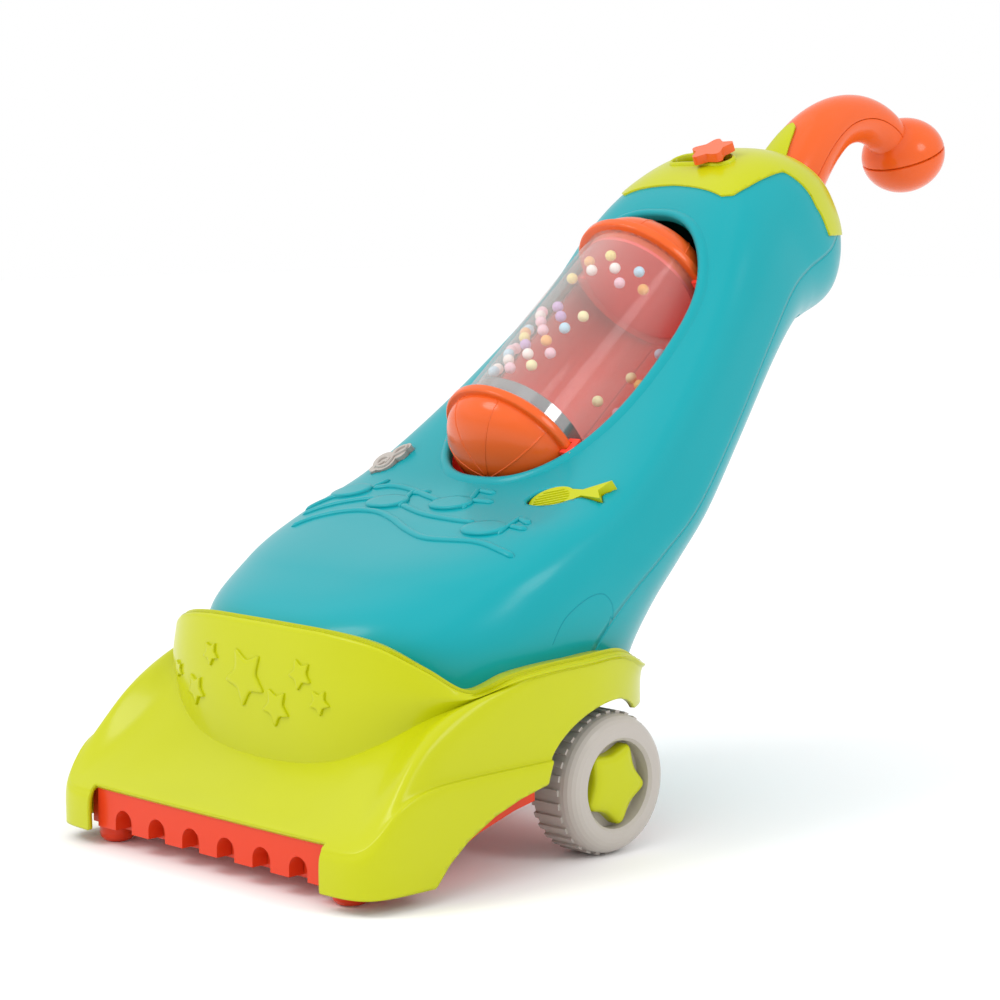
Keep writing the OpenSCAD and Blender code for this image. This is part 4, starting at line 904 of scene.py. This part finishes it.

# Two low ridges down the liner, coloured darker red as painted shade of its creases
LINER_CREASE_SHADE = plastic("liner_crease_shade", srgb("A51E14"), rough=0.5, coat=0.0)
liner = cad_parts["drum_liner"]
liner_verts = [np.array(liner.matrix_world @ v.co) / MM for v in liner.data.vertices]
liner_tree = ray_skin(liner_verts, [list(f.vertices) for f in liner.data.polygons])
for k, x in enumerate((-14, 12)):
    line = AXIS_AT + np.outer(np.linspace(12, DRUM_LEN - 8, 9), UP_AXIS) + np.array([x, 0, 0]) - OUT_AXIS * 40
    ridge(f"liner_crease_shade_{k}", line, liner_tree, -OUT_AXIS, 0.9, 0.25, LINER_CREASE_SHADE)

low, high = FLANGE_T / 2, DRUM_LEN - FLANGE_T / 2
bore = TUBE_R - TUBE_WALL
verts, faces = lathe([(TUBE_R, low), (TUBE_R, high), (bore, high), (bore, low), (TUBE_R, low)], 128)
verts = drum_world(verts)
turn_out(make("drum_glass", verts, faces, CLEAR, "drum", ["drum_tube"], weld=0.005))


# Room, light and camera
floor_mesh = bpy.data.meshes.new("floor")
floor_mesh.from_pydata([(-6, -6, 0), (6, -6, 0), (6, 6, 0), (-6, 6, 0)], [], [[0, 1, 2, 3]])
floor = bpy.data.objects.new("floor", floor_mesh)
bpy.context.scene.collection.objects.link(floor)
floor.data.materials.append(plastic("paper", [0.97, 0.97, 0.97], rough=0.9, coat=0.0, speck=0.005))

world = bpy.data.worlds.new("room")
bpy.context.scene.world = world
world.use_nodes = True
nodes, links = world.node_tree.nodes, world.node_tree.links
nodes.clear()
sky, paper = nodes.new("ShaderNodeBackground"), nodes.new("ShaderNodeBackground")
for white, strength in ((sky, 0.88), (paper, 1.0)):
    white.inputs["Color"].default_value = (1, 1, 1, 1)
    white.inputs["Strength"].default_value = strength
path = nodes.new("ShaderNodeLightPath")
mixer = nodes.new("ShaderNodeMixShader")
end = nodes.new("ShaderNodeOutputWorld")
links.new(path.outputs["Is Camera Ray"], mixer.inputs["Fac"])
links.new(sky.outputs["Background"], mixer.inputs[1])
links.new(paper.outputs["Background"], mixer.inputs[2])
links.new(mixer.outputs["Shader"], end.inputs["Surface"])


def lamp(name, at, aim, size, power):
    data = bpy.data.lights.new(name, "AREA")
    data.shape = "DISK"
    data.size = size
    data.energy = power
    obj = bpy.data.objects.new(name, data)
    bpy.context.scene.collection.objects.link(obj)
    obj.location = at
    obj.rotation_euler = (Vector(aim) - Vector(at)).to_track_quat("-Z", "Y").to_euler()


def sun(name, aim, power, angle):
    data = bpy.data.lights.new(name, "SUN")
    data.energy = power
    data.angle = math.radians(angle)
    obj = bpy.data.objects.new(name, data)
    bpy.context.scene.collection.objects.link(obj)
    obj.rotation_euler = Vector(aim).to_track_quat("-Z", "Y").to_euler()


sun("key", (0.35, 0.75, -1.0), 0.6, 100)
sun("side", (-0.9, 0.1, -0.7), 0.3, 100)
lamp("softbox", (-0.5, -1.3, 1.5), (0, -0.05, 0.2), 0.8, 9)
lamp("strip", (1.6, 0.2, 1.2), (0, 0, 0.2), 0.7, 6)

camera = bpy.data.objects.new("camera", bpy.data.cameras.new("camera"))
bpy.context.scene.collection.objects.link(camera)
CAMERA_DOWN, CAMERA_ROUND = 6.7597, 44.9505
camera.data.lens = 100.8
camera.data.sensor_width = 36
camera.data.clip_start = 0.05
camera.data.clip_end = 50
camera.location = (1.02829, -1.11261, 0.33726)
camera.rotation_euler = (math.radians(90 - CAMERA_DOWN), 0, math.radians(CAMERA_ROUND))
bpy.context.scene.camera = camera
bpy.context.scene.view_settings.view_transform = "Standard"

bpy.context.view_layer.update()
